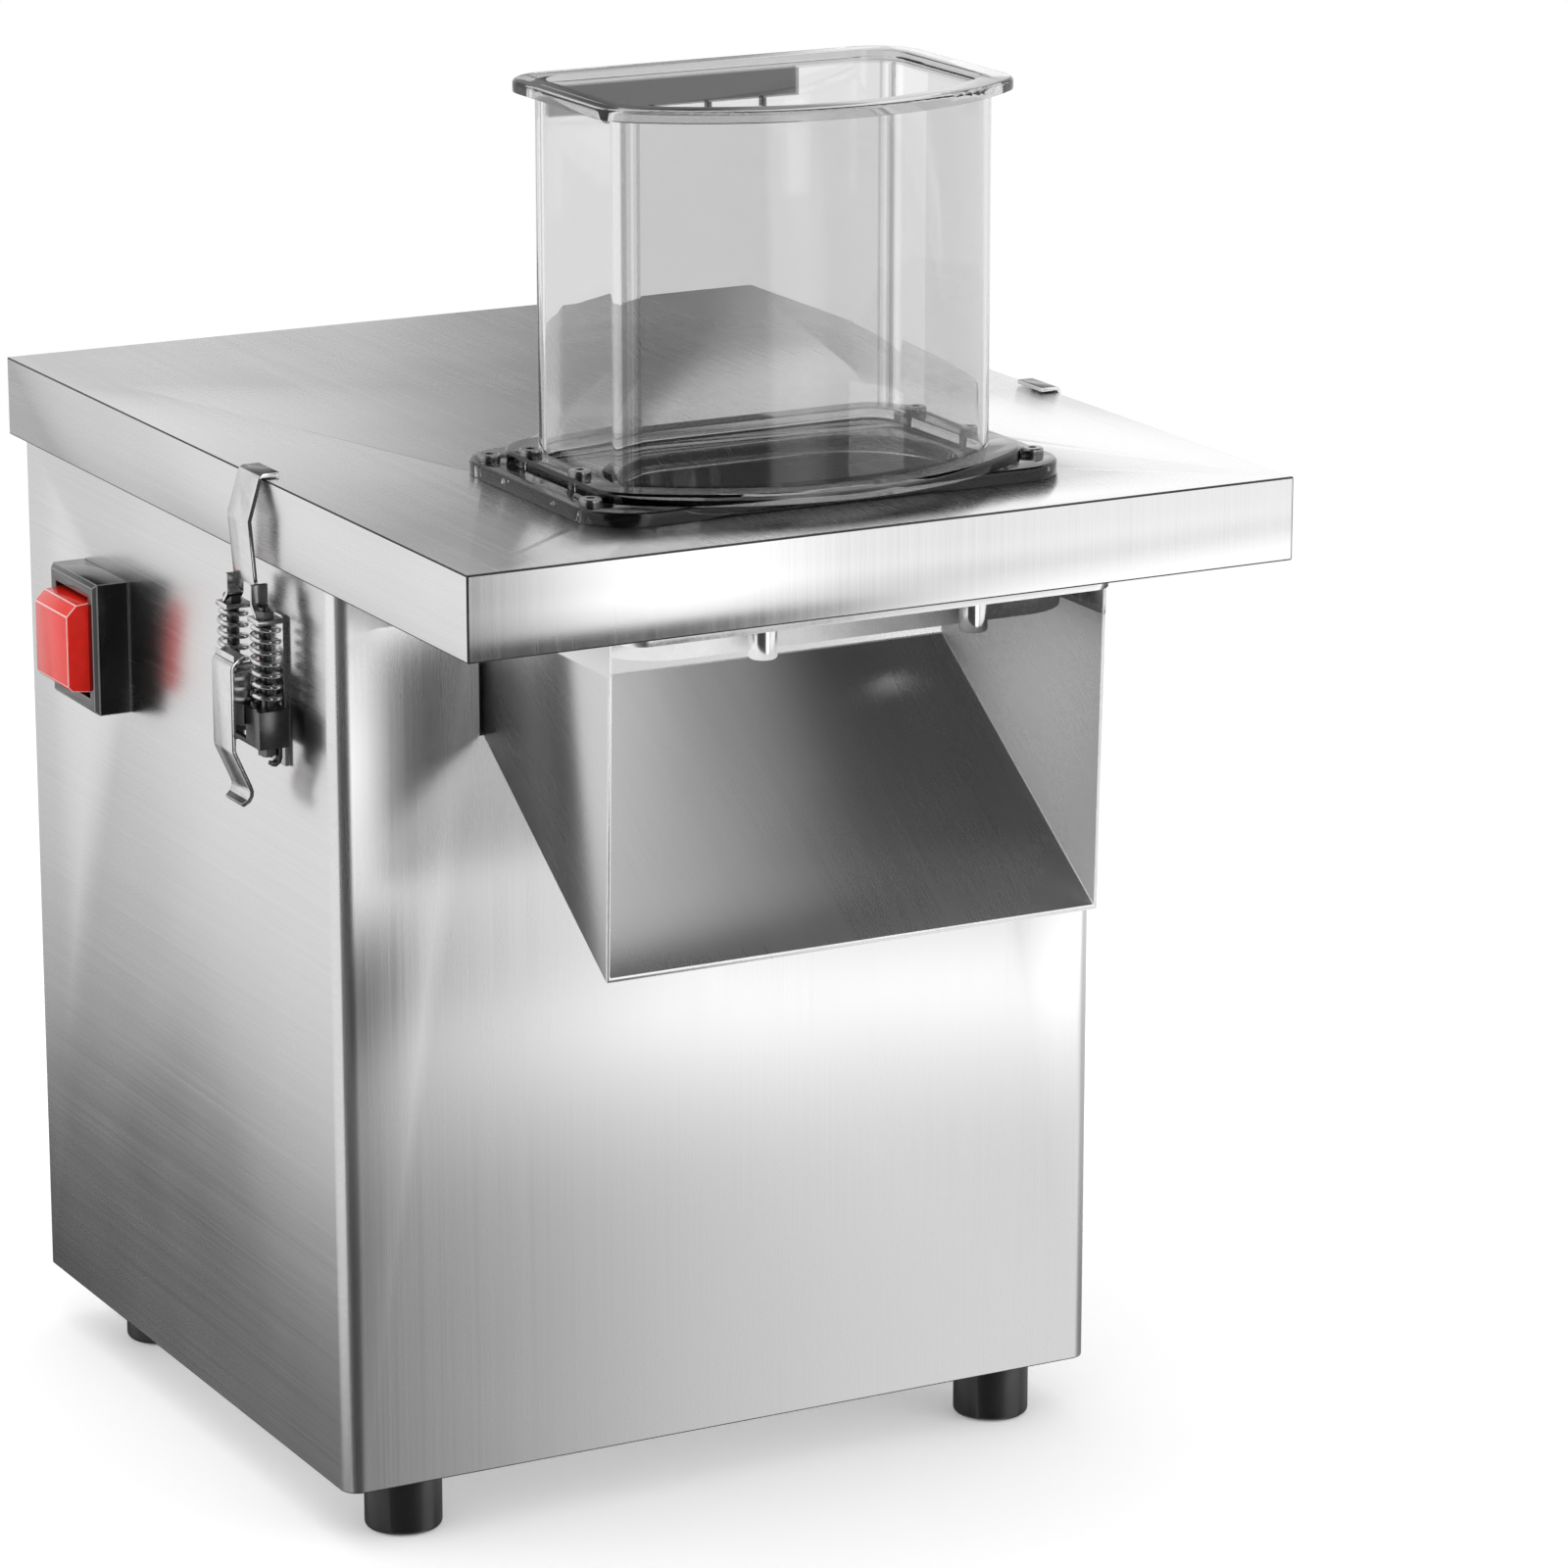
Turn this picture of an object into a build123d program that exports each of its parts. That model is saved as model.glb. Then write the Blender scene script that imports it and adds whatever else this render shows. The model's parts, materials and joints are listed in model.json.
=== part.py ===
from build123d import *
import math
import os

os.makedirs("parts", exist_ok=True)

# Housing
sheet = 1.5
body_width = 270.0
body_depth = 250.0
wall_height = 296.0
bend_radius = 6.0
foot_height = 20.0
foot_diameter = 25.0
foot_side_inset = 27.0
foot_end_inset = 18.0
foot_bolt = 6.0
foot_nut = 11.0
foot_nut_height = 5.0
foot_head = 10.0
foot_head_height = 4.0
bottom_flange = 44.0
back_return = 16.0
base_thickness = 3.0
fit = 0.05
gap = 0.3

# Lid
lid_side_overhang = 5.1
lid_front_overhang = 107.4
lid_back_overhang = 2.3
skirt_height = 26.3
chamber_height = 20.1
deck_thickness = 3.0
deck_front_clearance = 5.0
rim_thickness = 1.5
gasket_height = 3.0
gasket_width = 4.0

# Chute
chute_half_width = 85.3
chute_sheet = 1.2
chute_lip_reach = 85.0
chute_top_reach = 88.5
chute_lip_height = 204.3
chute_angle = 34.3
chute_depth_inside = 13.2

# Hopper
hopper_half_width = 64.0
hopper_height = 118.5
hopper_wall = 3.0
hopper_back = 12.0
hopper_side_front = 54.0
hopper_bow = 26.0
hopper_corner = 13.0
hopper_rim_width = 6.0
hopper_rim_height = 3.6
hopper_flange_width = 9.0
hopper_flange_height = 3.6
hopper_plate_half_width = 82.0
hopper_plate_front = 76.0
hopper_plate_back = 28.0
hopper_plate_height = 4.4
hopper_plate_corner = 18.0
hopper_screw = 4.0
hopper_nut = 8.0
hopper_nut_height = 3.0
feed_half_width = 56.0
feed_depth = 62.0
feed_front = 68.0

# Grid cassette
grid_half_width = 50.0
grid_front = 72.0
grid_depth = 76.0
cell = 10.0
knife_thickness = 0.8
cross_knife_height = 6.6
long_knife_height = 7.0
frame_half_width = 79.0
frame_front = 85.0
frame_back = 10.5
frame_height = 8.5
frame_corner = 20.0
flange_half_width = 83.4
flange_front = 98.0
flange_height = 6.0
grid_bolt = 5.0
grid_nut_diameter = 8.8
grid_nut_height = 9.3
grid_bolt_pitch = 72.0
grid_bolt_front = 92.0
grid_bolt_back = 10.0
grid_side_bolt = 64.5

# Cutter and drive
shaft_setback = 45.0
shaft_diameter = 15.0
shaft_bottom = 206.0
disc_radius = 126.0
disc_thickness = 4.0
disc_clearance = 4.0
window_inner = 42.0
window_outer = 118.0
window_width = 18.0
blade_thickness = 2.0
blade_width = 26.0
blade_screw = 5.0
pusher_height = 3.4
pusher_width = 14.0
knob_diameter = 38.0
knob_height = 10.5
bearing_diameter = 32.0
bearing_width = 9.0
bearing_housing_diameter = 46.0
bearing_housing_height = 70.0
bearing_shoulder = 3.0
bearing_screw = 5.0
bearing_flange_half = 36.0
bearing_flange_front = 28.0
bearing_flange_height = 8.0
seal_diameter = 26.0
driven_pulley_diameter = 74.0
motor_pulley_diameter = 40.0
pulley_height = 16.0
pulley_bottom = 212.0
belt_width = 9.0
belt_thickness = 6.0
motor_setback = 168.0
motor_diameter = 118.0
motor_height = 84.0
motor_cap_height = 16.0
motor_shaft_diameter = 14.0
motor_plate_thickness = 5.0
motor_plate_width = 150.0
motor_plate_top = 200.0
motor_post_diameter = 12.0
motor_post_inset = 12.0
fan_radius = 48.0
fan_height = 12.0
fan_cover_height = 22.0
capacitor_diameter = 40.0
capacitor_length = 74.0

# Switch on the left wall
switch_setback = 182.0
switch_height = 259.5
switch_width = 38.0
switch_length = 44.0
switch_depth = 12.3
switch_wall = 5.0
rocker_proud = 7.4
rocker_barrel = 4.8
switch_inner_depth = 22.0

# Draw latches
latch_setback = 45.0
latch_drop = 64.6
latch_pivot_out = 9.0
latch_crank = 12.0
latch_pin = 3.0
latch_sheet = 1.5
spring_diameter = 10.0
spring_wire = 1.6
hook_drop = 43.6
spring_turns = 7
spring_offset = 12.5
yoke_height = 12.0
yoke_depth = 10.0
yoke_half_width = 18.0
rod_diameter = 4.0
rod_nut = 6.4
hook_width = 16.0
hook_leg_outer = 17.5
claw_reach = 5.2
claw_clearance = 0.4
lever_half_width = 7.2
lever_out = 17.0
lever_above = 10.0
yoke_bridge = 2.0
yoke_bridge_height = 1.5
yoke_gap = 0.3

# Lid switch
plunger_diameter = 5.0
guide_diameter = 10.0
plunger_side = 112.0
plunger_inset = 22.0
micro_width = 28.0
micro_depth = 10.0
micro_height = 18.0

# Rear cover and inlet
cover_screw = 4.0
inlet_width = 48.0
inlet_height = 24.0
inlet_side = 80.0
inlet_above_base = 40.0

half_width = body_width / 2
lid_depth = lid_front_overhang + body_depth + lid_back_overhang
lid_front = -lid_depth / 2
lid_back = lid_depth / 2
front = lid_front + lid_front_overhang
back = front + body_depth
bottom = foot_height
deck_bottom = bottom + wall_height
deck_top = deck_bottom + deck_thickness
lid_under = deck_top + chamber_height
lid_top = lid_under + sheet
skirt_bottom = lid_top - skirt_height
lid_half_width = half_width + lid_side_overhang
latch_pivot_height = lid_top - latch_drop
shaft_y = front + shaft_setback
motor_y = front + motor_setback
plunger_y = back - plunger_inset


def block(x0, x1, y0, y1, z0, z1):
    size = (abs(x1 - x0), abs(y1 - y0), abs(z1 - z0))
    middle = ((x0 + x1) / 2, (y0 + y1) / 2, (z0 + z1) / 2)
    return Pos(*middle) * Box(*size)


def upright(x, y, z0, z1, diameter):
    return Pos(x, y, (z0 + z1) / 2) * Cylinder(diameter / 2, z1 - z0)


def along_x(x0, x1, y, z, diameter):
    return Pos((x0 + x1) / 2, y, z) * Rot(0, 90, 0) * Cylinder(diameter / 2, abs(x1 - x0))


def along_y(x, y0, y1, z, diameter):
    return Pos(x, (y0 + y1) / 2, z) * Rot(90, 0, 0) * Cylinder(diameter / 2, abs(y1 - y0))


def rounded_slab(half, y0, y1, z0, z1, radius):
    plate = Pos(0, (y0 + y1) / 2, z0) * RectangleRounded(2 * half, y1 - y0, radius)
    return extrude(plate, z1 - z0)


def side_prism(points, x0, x1):
    face = Plane.YZ * make_face(Polyline(*points, close=True))
    return Pos(x0, 0, 0) * extrude(face, x1 - x0)


def combine(pieces):
    return Compound(children=list(pieces))


def save(shape, node):
    shape.label = node
    export_step(shape, f"parts/{node}.step")


# Housing: one sheet folded round the front and both sides
def housing_shell():
    turn_back = back - sheet
    outer = block(-half_width, half_width, front, back, bottom, deck_bottom)
    outer = fillet(outer.edges().filter_by(Axis.Z).group_by(Axis.Y)[0], bend_radius)
    inner = block(-half_width + sheet, half_width - sheet, front + sheet, back + 1, bottom + sheet,
                  deck_bottom + 1)
    inner = fillet(inner.edges().filter_by(Axis.Z).group_by(Axis.Y)[0], bend_radius - sheet)
    shell = outer - inner
    inside_flange = half_width - bottom_flange
    shell -= block(-inside_flange, inside_flange, front + bottom_flange, back + 1, bottom - 1,
                   bottom + 2 * sheet)
    for side in (-1, 1):
        x_wall = side * (half_width - sheet)
        x_end = side * (half_width - back_return)
        shell += block(x_wall, x_end, turn_back - sheet, turn_back, bottom + sheet, deck_bottom)
        shell -= along_feet_holes(side)
    opening = chute_half_width + gap
    sill = chute_floor_height(front) - gap
    shell -= block(-opening, opening, front - 1, front + sheet + 1, sill, deck_bottom + 1)
    shell -= block(-half_width - 1, -half_width + sheet + 1, *switch_cutout())
    for side in (-1, 1):
        for z in cover_screw_heights():
            x = side * (half_width - back_return / 2)
            shell -= along_y(x, turn_back - sheet - 1, turn_back + 1, z, cover_screw + 2 * fit)
    return shell


def foot_places():
    x = half_width - foot_side_inset
    return [(sx * x, y) for sx in (-1, 1) for y in (front + foot_end_inset,
            back - foot_end_inset - back_return)]


def along_feet_holes(side):
    holes = [upright(x, y, bottom - 1, bottom + 2 * sheet, foot_bolt + 2 * fit) for x, y in foot_places()
             if x * side > 0]
    return combine(holes)


def chute_floor_height(y):
    return chute_lip_height + (y - front + chute_lip_reach) * math.tan(math.radians(chute_angle))


def switch_cutout():
    y = front + switch_setback
    half_y = switch_width / 2 - switch_wall
    half_z = switch_length / 2 - switch_wall
    return (y - half_y, y + half_y, switch_height - half_z, switch_height + half_z)


def cover_screw_heights():
    low = bottom + 24.0
    high = deck_bottom - 30.0
    return [low, (low + high) / 2, high]


def base_plate():
    edge = half_width - sheet - gap
    plate = block(-edge, edge, front + sheet + gap, back - 2 * sheet - gap, bottom + sheet,
                  bottom + sheet + base_thickness)
    front_edges = plate.edges().filter_by(Axis.Z).group_by(Axis.Y)[0]
    plate = fillet(front_edges, bend_radius)
    top = bottom + sheet + base_thickness
    for x, y in foot_places():
        plate += Pos(x, y, top) * extrude(RegularPolygon(foot_nut / 2, 6), foot_nut_height)
        plate -= upright(x, y, bottom, top + foot_nut_height + 1, foot_bolt + 2 * fit)
    slot_length = 60.0
    slot_width = 6.0
    slot_pitch = 14.0
    for i in range(6):
        y = motor_y + (i - 2.5) * slot_pitch
        slot = Pos(0, y, bottom) * extrude(SlotOverall(slot_length, slot_width), 10)
        plate -= slot
    return plate


def rubber_feet():
    recess = 12.0
    feet = []
    for x, y in foot_places():
        foot = upright(x, y, 0, foot_height, foot_diameter)
        foot = fillet(foot.edges().group_by(Axis.Z)[0], 1.6)
        foot -= upright(x, y, -1, foot_height / 2, recess)
        foot -= upright(x, y, 0, foot_height + 1, foot_bolt + 2 * fit)
        feet.append(foot)
    return combine(feet)


def foot_bolts():
    top = bottom + sheet + base_thickness + foot_nut_height + 2.0
    bolts = []
    for x, y in foot_places():
        bolt = upright(x, y, foot_height / 2, top, foot_bolt)
        bolt += upright(x, y, foot_height / 2 - foot_head_height, foot_height / 2, foot_head)
        bolts.append(bolt)
    return combine(bolts)


# Rear cover
def rear_cover():
    edge = half_width - sheet - gap
    base = bottom + sheet + gap
    cover = block(-edge, edge, back - sheet, back, base, deck_bottom)
    vent_length = 90.0
    vent_width = 5.0
    vent_pitch = 12.0
    for i in range(8):
        z = bottom + 110.0 + i * vent_pitch
        vent = Pos(0, back + 5, z) * Rot(90, 0, 0) * extrude(SlotOverall(vent_length, vent_width), 15)
        cover -= vent
    for side in (-1, 1):
        for z in cover_screw_heights():
            x = side * (half_width - back_return / 2)
            cover -= along_y(x, back - 5, back + 5, z, cover_screw + 2 * fit)
    x, z = inlet_place()
    cover -= block(x - inlet_width / 2 + 9, x + inlet_width / 2 - 9, back - 5, back + 5,
                   z - inlet_height / 2 + 1, z + inlet_height / 2 - 1)
    return cover


def cover_screws():
    head_height = 2.0
    screws = []
    for side in (-1, 1):
        for z in cover_screw_heights():
            x = side * (half_width - back_return / 2)
            screw = along_y(x, back - 2 * sheet - 4, back, z, cover_screw)
            head = along_y(x, back, back + head_height, z, cover_screw * 1.9)
            head = fillet(head.edges().group_by(Axis.Y)[-1], 0.8)
            head -= block(x - 0.5, x + 0.5, back + head_height - 0.9, back + 5, z - 2.4, z + 2.4)
            head -= block(x - 2.4, x + 2.4, back + head_height - 0.9, back + 5, z - 0.5, z + 0.5)
            screws.append(screw + head)
    return combine(screws)


def inlet_place():
    return half_width - inlet_side, bottom + inlet_above_base


def power_inlet():
    x, z = inlet_place()
    face = 2.0
    body_depth_inside = 22.0
    flange = block(x - inlet_width / 2, x + inlet_width / 2, back, back + face, z - inlet_height / 2,
                   z + inlet_height / 2)
    flange = fillet(flange.edges().filter_by(Axis.Y), 4.0)
    body = block(x - inlet_width / 2 + 9 + gap, x + inlet_width / 2 - 9 - gap, back - body_depth_inside,
                 back,
                 z - inlet_height / 2 + 1 + gap, z + inlet_height / 2 - 1 - gap)
    recess = block(x - 12, x + 12, back - body_depth_inside + 4, back + face + 1, z - 8, z + 8)
    pins = block(x - 1, x + 1, back - body_depth_inside + 4, back - 2, z + 1, z + 5)
    for offset in (-1, 1):
        pins += block(x + offset * 7 - 1, x + offset * 7 + 1, back - body_depth_inside + 4, back - 2,
                      z - 4, z)
    return flange + body - recess + pins


# Chute: sloping floor, two cheeks and a back wall in one folded sheet
def chute_profile(offset):
    lip_y = front - chute_lip_reach
    top_y = front - chute_top_reach
    back_y = front + chute_depth_inside
    slope = math.tan(math.radians(chute_angle))
    lift = offset / math.cos(math.radians(chute_angle))
    inner_back = back_y - offset
    floor_front = chute_lip_height + lift
    floor_back = chute_lip_height + lift + (inner_back - lip_y) * slope
    if offset == 0:
        return [(lip_y, floor_front), (top_y, deck_bottom), (inner_back, deck_bottom),
                (inner_back, floor_back)]
    reach = 4.0
    return [(lip_y - reach, floor_front - reach * slope), (top_y - reach, deck_bottom + 1),
            (inner_back, deck_bottom + 1), (inner_back, floor_back)]


def discharge_chute():
    outer = side_prism(chute_profile(0), -chute_half_width, chute_half_width)
    inner_half = chute_half_width - chute_sheet
    return outer - side_prism(chute_profile(chute_sheet), -inner_half, inner_half)


# Deck pan closes the housing and carries the cutter
def deck_front_edge():
    return lid_front + sheet + deck_front_clearance


def deck_pan():
    y0 = deck_front_edge()
    rim_top = lid_under - gasket_height
    pan = rounded_slab(half_width, y0, back, deck_bottom, rim_top, bend_radius)
    inside = half_width - rim_thickness
    pan -= rounded_slab(inside, y0 + rim_thickness, back - rim_thickness, deck_top, rim_top + 1,
                        bend_radius - rim_thickness)
    pan -= block(-grid_half_width, grid_half_width, front - grid_front, front - grid_front + grid_depth,
                 deck_bottom - 1, deck_top + 1)
    pan -= upright(0, shaft_y, deck_bottom - 1, deck_top + 1, seal_diameter + 2 * fit)
    for x, y in grid_bolt_places():
        pan -= upright(x, y, deck_bottom - 1, deck_top + 1, grid_bolt + 2 * fit)
    pan -= upright(plunger_side, plunger_y, deck_bottom - 1, deck_top + 1, guide_diameter + 2 * fit)
    for x, y in bearing_screw_places():
        pan -= upright(x, y, deck_bottom - 1, deck_top + 1, bearing_screw + 2 * fit)
    return pan


def bearing_screw_places():
    x = bearing_flange_half - 8.0
    return [(sx * x, shaft_y + dy) for sx in (-1, 1) for dy in (-20.0, 20.0)]


def lid_gasket():
    y0 = deck_front_edge()
    outer = 1.2
    ring = rounded_slab(half_width + outer, y0 - outer, back, lid_under - gasket_height, lid_under,
                        bend_radius + outer)
    inner = half_width + outer - gasket_width
    cut = rounded_slab(inner, y0 - outer + gasket_width, back - gasket_width, lid_under - gasket_height - 1,
                       lid_under + 1, bend_radius - 2)
    return ring - cut


# Grid cassette under the deck
def grid_bolt_places():
    ahead = [(sx * grid_bolt_pitch / 2, front - grid_bolt_front) for sx in (-1, 1)]
    beside = [(sx * grid_side_bolt, front - grid_bolt_back) for sx in (-1, 1)]
    return ahead + beside


def grid_frame():
    flange = rounded_slab(flange_half_width, front - flange_front, front + frame_back,
                          deck_bottom - flange_height,
                          deck_bottom, 8.0)
    body = rounded_slab(frame_half_width, front - frame_front, front + frame_back,
                        deck_bottom - flange_height - frame_height, deck_bottom - flange_height, 6.0)
    frame = body + flange - front_corner_cutters()
    frame -= block(-grid_half_width, grid_half_width, front - grid_front, front - grid_front + grid_depth,
                   deck_bottom - 40, deck_bottom + 1)
    for x, y in grid_bolt_places():
        frame -= upright(x, y, deck_bottom - 40, deck_bottom + 1, grid_bolt + 2 * fit)
    return frame


def front_corner_cutters():
    z0 = deck_bottom - flange_height - frame_height - 1
    z1 = deck_bottom - flange_height
    pieces = []
    for side in (-1, 1):
        corner_x = side * frame_half_width
        centre_x = side * (frame_half_width - frame_corner)
        centre_y = front - frame_front + frame_corner
        square = block(centre_x, corner_x + side, front - frame_front - 1, centre_y, z0, z1)
        pieces.append(square - upright(centre_x, centre_y, z0 - 1, z1 + 1, 2 * frame_corner))
    return combine(pieces)


def grid_bolts():
    bolts = []
    seat = deck_bottom - flange_height
    for x, y in grid_bolt_places():
        under = seat if y < front - frame_front else seat - frame_height
        nut = upright(x, y, under - grid_nut_height, under, grid_nut_diameter)
        nut = chamfer(nut.edges().group_by(Axis.Z)[0], 0.6)
        bolts.append(nut + upright(x, y, under, deck_top, grid_bolt))
    return combine(bolts)


def cross_knives():
    count = round(2 * grid_half_width / cell) - 1
    top = deck_bottom - 0.4
    y0 = front - grid_front
    knives = []
    for i in range(count):
        x = -grid_half_width + cell * (i + 1)
        knife = block(x - knife_thickness / 2, x + knife_thickness / 2, y0, y0 + grid_depth,
                      top - cross_knife_height, top)
        knives.append(knife)
    return combine(knives)


def long_knives():
    count = round(grid_depth / cell) - 1
    pitch = grid_depth / (count + 1)
    top = deck_bottom - 0.4 - cross_knife_height - 0.1
    knives = []
    for i in range(count):
        y = front - grid_front + pitch * (i + 1)
        knife = block(-grid_half_width, grid_half_width, y - knife_thickness / 2, y + knife_thickness / 2,
                      top - long_knife_height, top)
        knives.append(knife)
    return combine(knives)


# Cutter disc, blade and drive shaft
disc_bottom = deck_top + disc_clearance
disc_top = disc_bottom + disc_thickness
blade_screw_head = 9.0
window_offset = 10.0


def cutter_disc():
    disc = upright(0, shaft_y, disc_bottom, disc_top, 2 * disc_radius)
    disc = chamfer(disc.edges().group_by(Axis.Z)[-1], 0.8)
    middle = (window_inner + window_outer) / 2
    length = window_outer - window_inner
    window = Pos(middle, shaft_y - window_offset, disc_bottom - 1) * extrude(SlotOverall(length,
                                                                             window_width), 10)
    disc -= window
    disc -= upright(0, shaft_y, disc_bottom - 1, disc_top + 1, shaft_diameter + 2 * fit)
    for x, y in blade_screw_places():
        disc -= upright(x, y, disc_bottom - 1, disc_top + 1, blade_screw + 2 * fit)
    return disc + pusher_ramp()


def blade_screw_places():
    y = shaft_y - window_offset + window_width / 2 + 11.0
    middle = (window_inner + window_outer) / 2
    return [(middle + dx, y) for dx in (-28.0, 0.0, 28.0)]


def slicing_blade():
    y1 = shaft_y - window_offset + window_width / 2 + 20.0
    y0 = y1 - blade_width
    edge = [(y0, disc_top + 0.05), (y0, disc_top + 0.25), (y0 + 7.0, disc_top + blade_thickness),
            (y1, disc_top + blade_thickness), (y1, disc_top), (y0 + 5.0, disc_top)]
    blade = side_prism(edge, window_inner, window_outer)
    for x, y in blade_screw_places():
        blade -= upright(x, y, disc_top - 1, disc_top + 10, blade_screw + 2 * fit)
    return blade


def blade_screws():
    screws = []
    for x, y in blade_screw_places():
        top = disc_top + blade_thickness
        screw = upright(x, y, disc_bottom, top, blade_screw)
        head = upright(x, y, top, top + 2.2, blade_screw_head)
        head = fillet(head.edges().group_by(Axis.Z)[-1], 0.9)
        head -= Pos(x, y, top + 1.0) * extrude(RegularPolygon(1.7, 6), 3)
        screws.append(screw + head)
    return combine(screws)


def pusher_ramp():
    y1 = shaft_y - window_offset - window_width / 2 - 3.0
    y0 = y1 - pusher_width
    ramp = [(y0, disc_bottom), (y0, disc_bottom - pusher_height), (y1, disc_bottom)]
    return side_prism(ramp, window_inner, window_outer - 10)


def disc_knob():
    knob = upright(0, shaft_y, disc_top, disc_top + knob_height, knob_diameter)
    knob = fillet(knob.edges().group_by(Axis.Z)[-1], 2.0)
    for i in range(6):
        angle = math.radians(60 * i)
        x = knob_diameter / 2 * 1.12 * math.cos(angle)
        y = shaft_y + knob_diameter / 2 * 1.12 * math.sin(angle)
        knob -= upright(x, y, disc_top - 1, disc_top + knob_height + 1, 10)
    knob -= upright(0, shaft_y, disc_top - 1, disc_top + knob_height - 3, shaft_diameter + 2 * fit)
    return knob


def drive_shaft():
    top = disc_top + knob_height - 4
    shaft = upright(0, shaft_y, shaft_bottom, top, shaft_diameter)
    collar_bottom = deck_top + 1.0
    shaft += upright(0, shaft_y, collar_bottom, disc_bottom, shaft_diameter + 10)
    return chamfer(shaft.edges().group_by(Axis.Z)[0], 1.0)


def bearing_housing():
    low = deck_bottom - bearing_housing_height
    body = upright(0, shaft_y, low, deck_bottom, bearing_housing_diameter)
    body += block(-bearing_flange_half, bearing_flange_half, shaft_y - bearing_flange_front,
                  shaft_y + bearing_flange_front, deck_bottom - bearing_flange_height, deck_bottom)
    body -= upright(0, shaft_y, low - 1, deck_bottom + 1, shaft_diameter + 4)
    pocket = bearing_diameter + 2 * fit
    body -= upright(0, shaft_y, low - 1, low + bearing_shoulder + bearing_width, pocket)
    body -= upright(0, shaft_y, deck_bottom - bearing_shoulder - bearing_width, deck_bottom + 1, pocket)
    for x, y in bearing_screw_places():
        body -= upright(x, y, deck_bottom - 20, deck_bottom + 1, bearing_screw + 2 * fit)
    return body


def bearing(z):
    ring = upright(0, shaft_y, z, z + bearing_width, bearing_diameter)
    ring -= upright(0, shaft_y, z - 1, z + bearing_width + 1, shaft_diameter + 2 * fit)
    groove_outer = bearing_diameter - 6
    groove_inner = shaft_diameter + 5
    for low in (z - 1, z + bearing_width - 1.2):
        groove = upright(0, shaft_y, low, low + 2.2, groove_outer)
        ring -= groove - upright(0, shaft_y, low - 1, low + 4, groove_inner)
    return ring


def shaft_seal():
    seal = upright(0, shaft_y, deck_bottom - bearing_shoulder, deck_top, seal_diameter)
    return seal - upright(0, shaft_y, deck_bottom - 10, deck_top + 1, shaft_diameter + 2 * fit)


def bearing_screws():
    screws = []
    for x, y in bearing_screw_places():
        screw = upright(x, y, deck_bottom - bearing_flange_height, deck_top, bearing_screw)
        screw += upright(x, y, deck_top, deck_top + 2.4, bearing_screw * 1.8)
        head_cut = Pos(x, y, deck_top + 1.0) * extrude(RegularPolygon(1.7, 6), 3)
        screws.append(screw - head_cut)
    return combine(screws)


def grooved_pulley(y, diameter, bore):
    top = pulley_bottom + pulley_height
    middle = (pulley_bottom + top) / 2
    pulley = upright(0, y, pulley_bottom, top, diameter)
    mouth = belt_width / 2 + 0.6
    floor = belt_width / 2 - 1.4
    depth = belt_thickness + 2.0
    rim = diameter / 2
    groove = make_face(Polyline((rim + 1, middle - mouth - 0.3), (rim + 1, middle + mouth + 0.3),
                                (rim - depth, middle + floor), (rim - depth, middle - floor), close=True))
    pulley -= Pos(0, y, 0) * revolve(Plane.XZ * groove, Axis.Z)
    return pulley - upright(0, y, pulley_bottom - 1, top + 1, bore + 2 * fit)


def driven_pulley():
    pulley = grooved_pulley(shaft_y, driven_pulley_diameter, shaft_diameter)
    for i in range(5):
        angle = math.radians(72 * i + 36)
        spoke_gap = 18.5
        hole = upright(spoke_gap * math.cos(angle), shaft_y + spoke_gap * math.sin(angle),
                       pulley_bottom - 1,
                       pulley_bottom + pulley_height + 1, 9.0)
        pulley -= hole
    return pulley


def motor_pulley():
    return grooved_pulley(motor_y, motor_pulley_diameter, motor_shaft_diameter)


def drive_belt():
    middle = pulley_bottom + pulley_height / 2
    seat = 1.2
    wheel_radius = driven_pulley_diameter / 2 - belt_thickness - seat
    motor_radius = motor_pulley_diameter / 2 - belt_thickness - seat
    outline = belt_outline(wheel_radius + belt_thickness, motor_radius + belt_thickness)
    hollow = belt_outline(wheel_radius, motor_radius)
    half = belt_width / 2 - 1.5
    return Pos(0, 0, middle - half) * extrude(outline - hollow, 2 * half)


def belt_outline(wheel_radius, motor_radius):
    wheel = Pos(0, shaft_y) * Circle(wheel_radius)
    small = Pos(0, motor_y) * Circle(motor_radius)
    lean = math.asin((wheel_radius - motor_radius) / (motor_y - shaft_y))
    cx = math.cos(lean)
    cy = math.sin(lean)
    span = make_face(Polyline((-wheel_radius * cx, shaft_y + wheel_radius * cy),
                              (-motor_radius * cx, motor_y + motor_radius * cy),
                              (motor_radius * cx, motor_y + motor_radius * cy),
                              (wheel_radius * cx, shaft_y + wheel_radius * cy), close=True))
    return wheel + small + span


# Motor hangs from a plate on four posts under the deck
motor_top = motor_plate_top - motor_plate_thickness
motor_body_top = motor_top - motor_cap_height
motor_body_bottom = motor_body_top - motor_height
motor_bottom = motor_body_bottom - motor_cap_height
motor_boss = 50.0


def motor_bracket():
    width = motor_plate_width
    plate = Pos(0, motor_y, motor_top) * extrude(RectangleRounded(width, width, 10), motor_plate_thickness)
    plate -= upright(0, motor_y, motor_top - 1, motor_plate_top + 1, motor_boss)
    reach = width / 2 - motor_post_inset
    for sx in (-1, 1):
        for sy in (-1, 1):
            plate += upright(sx * reach, motor_y + sy * reach, motor_top, deck_bottom, motor_post_diameter)
    return plate


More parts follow.
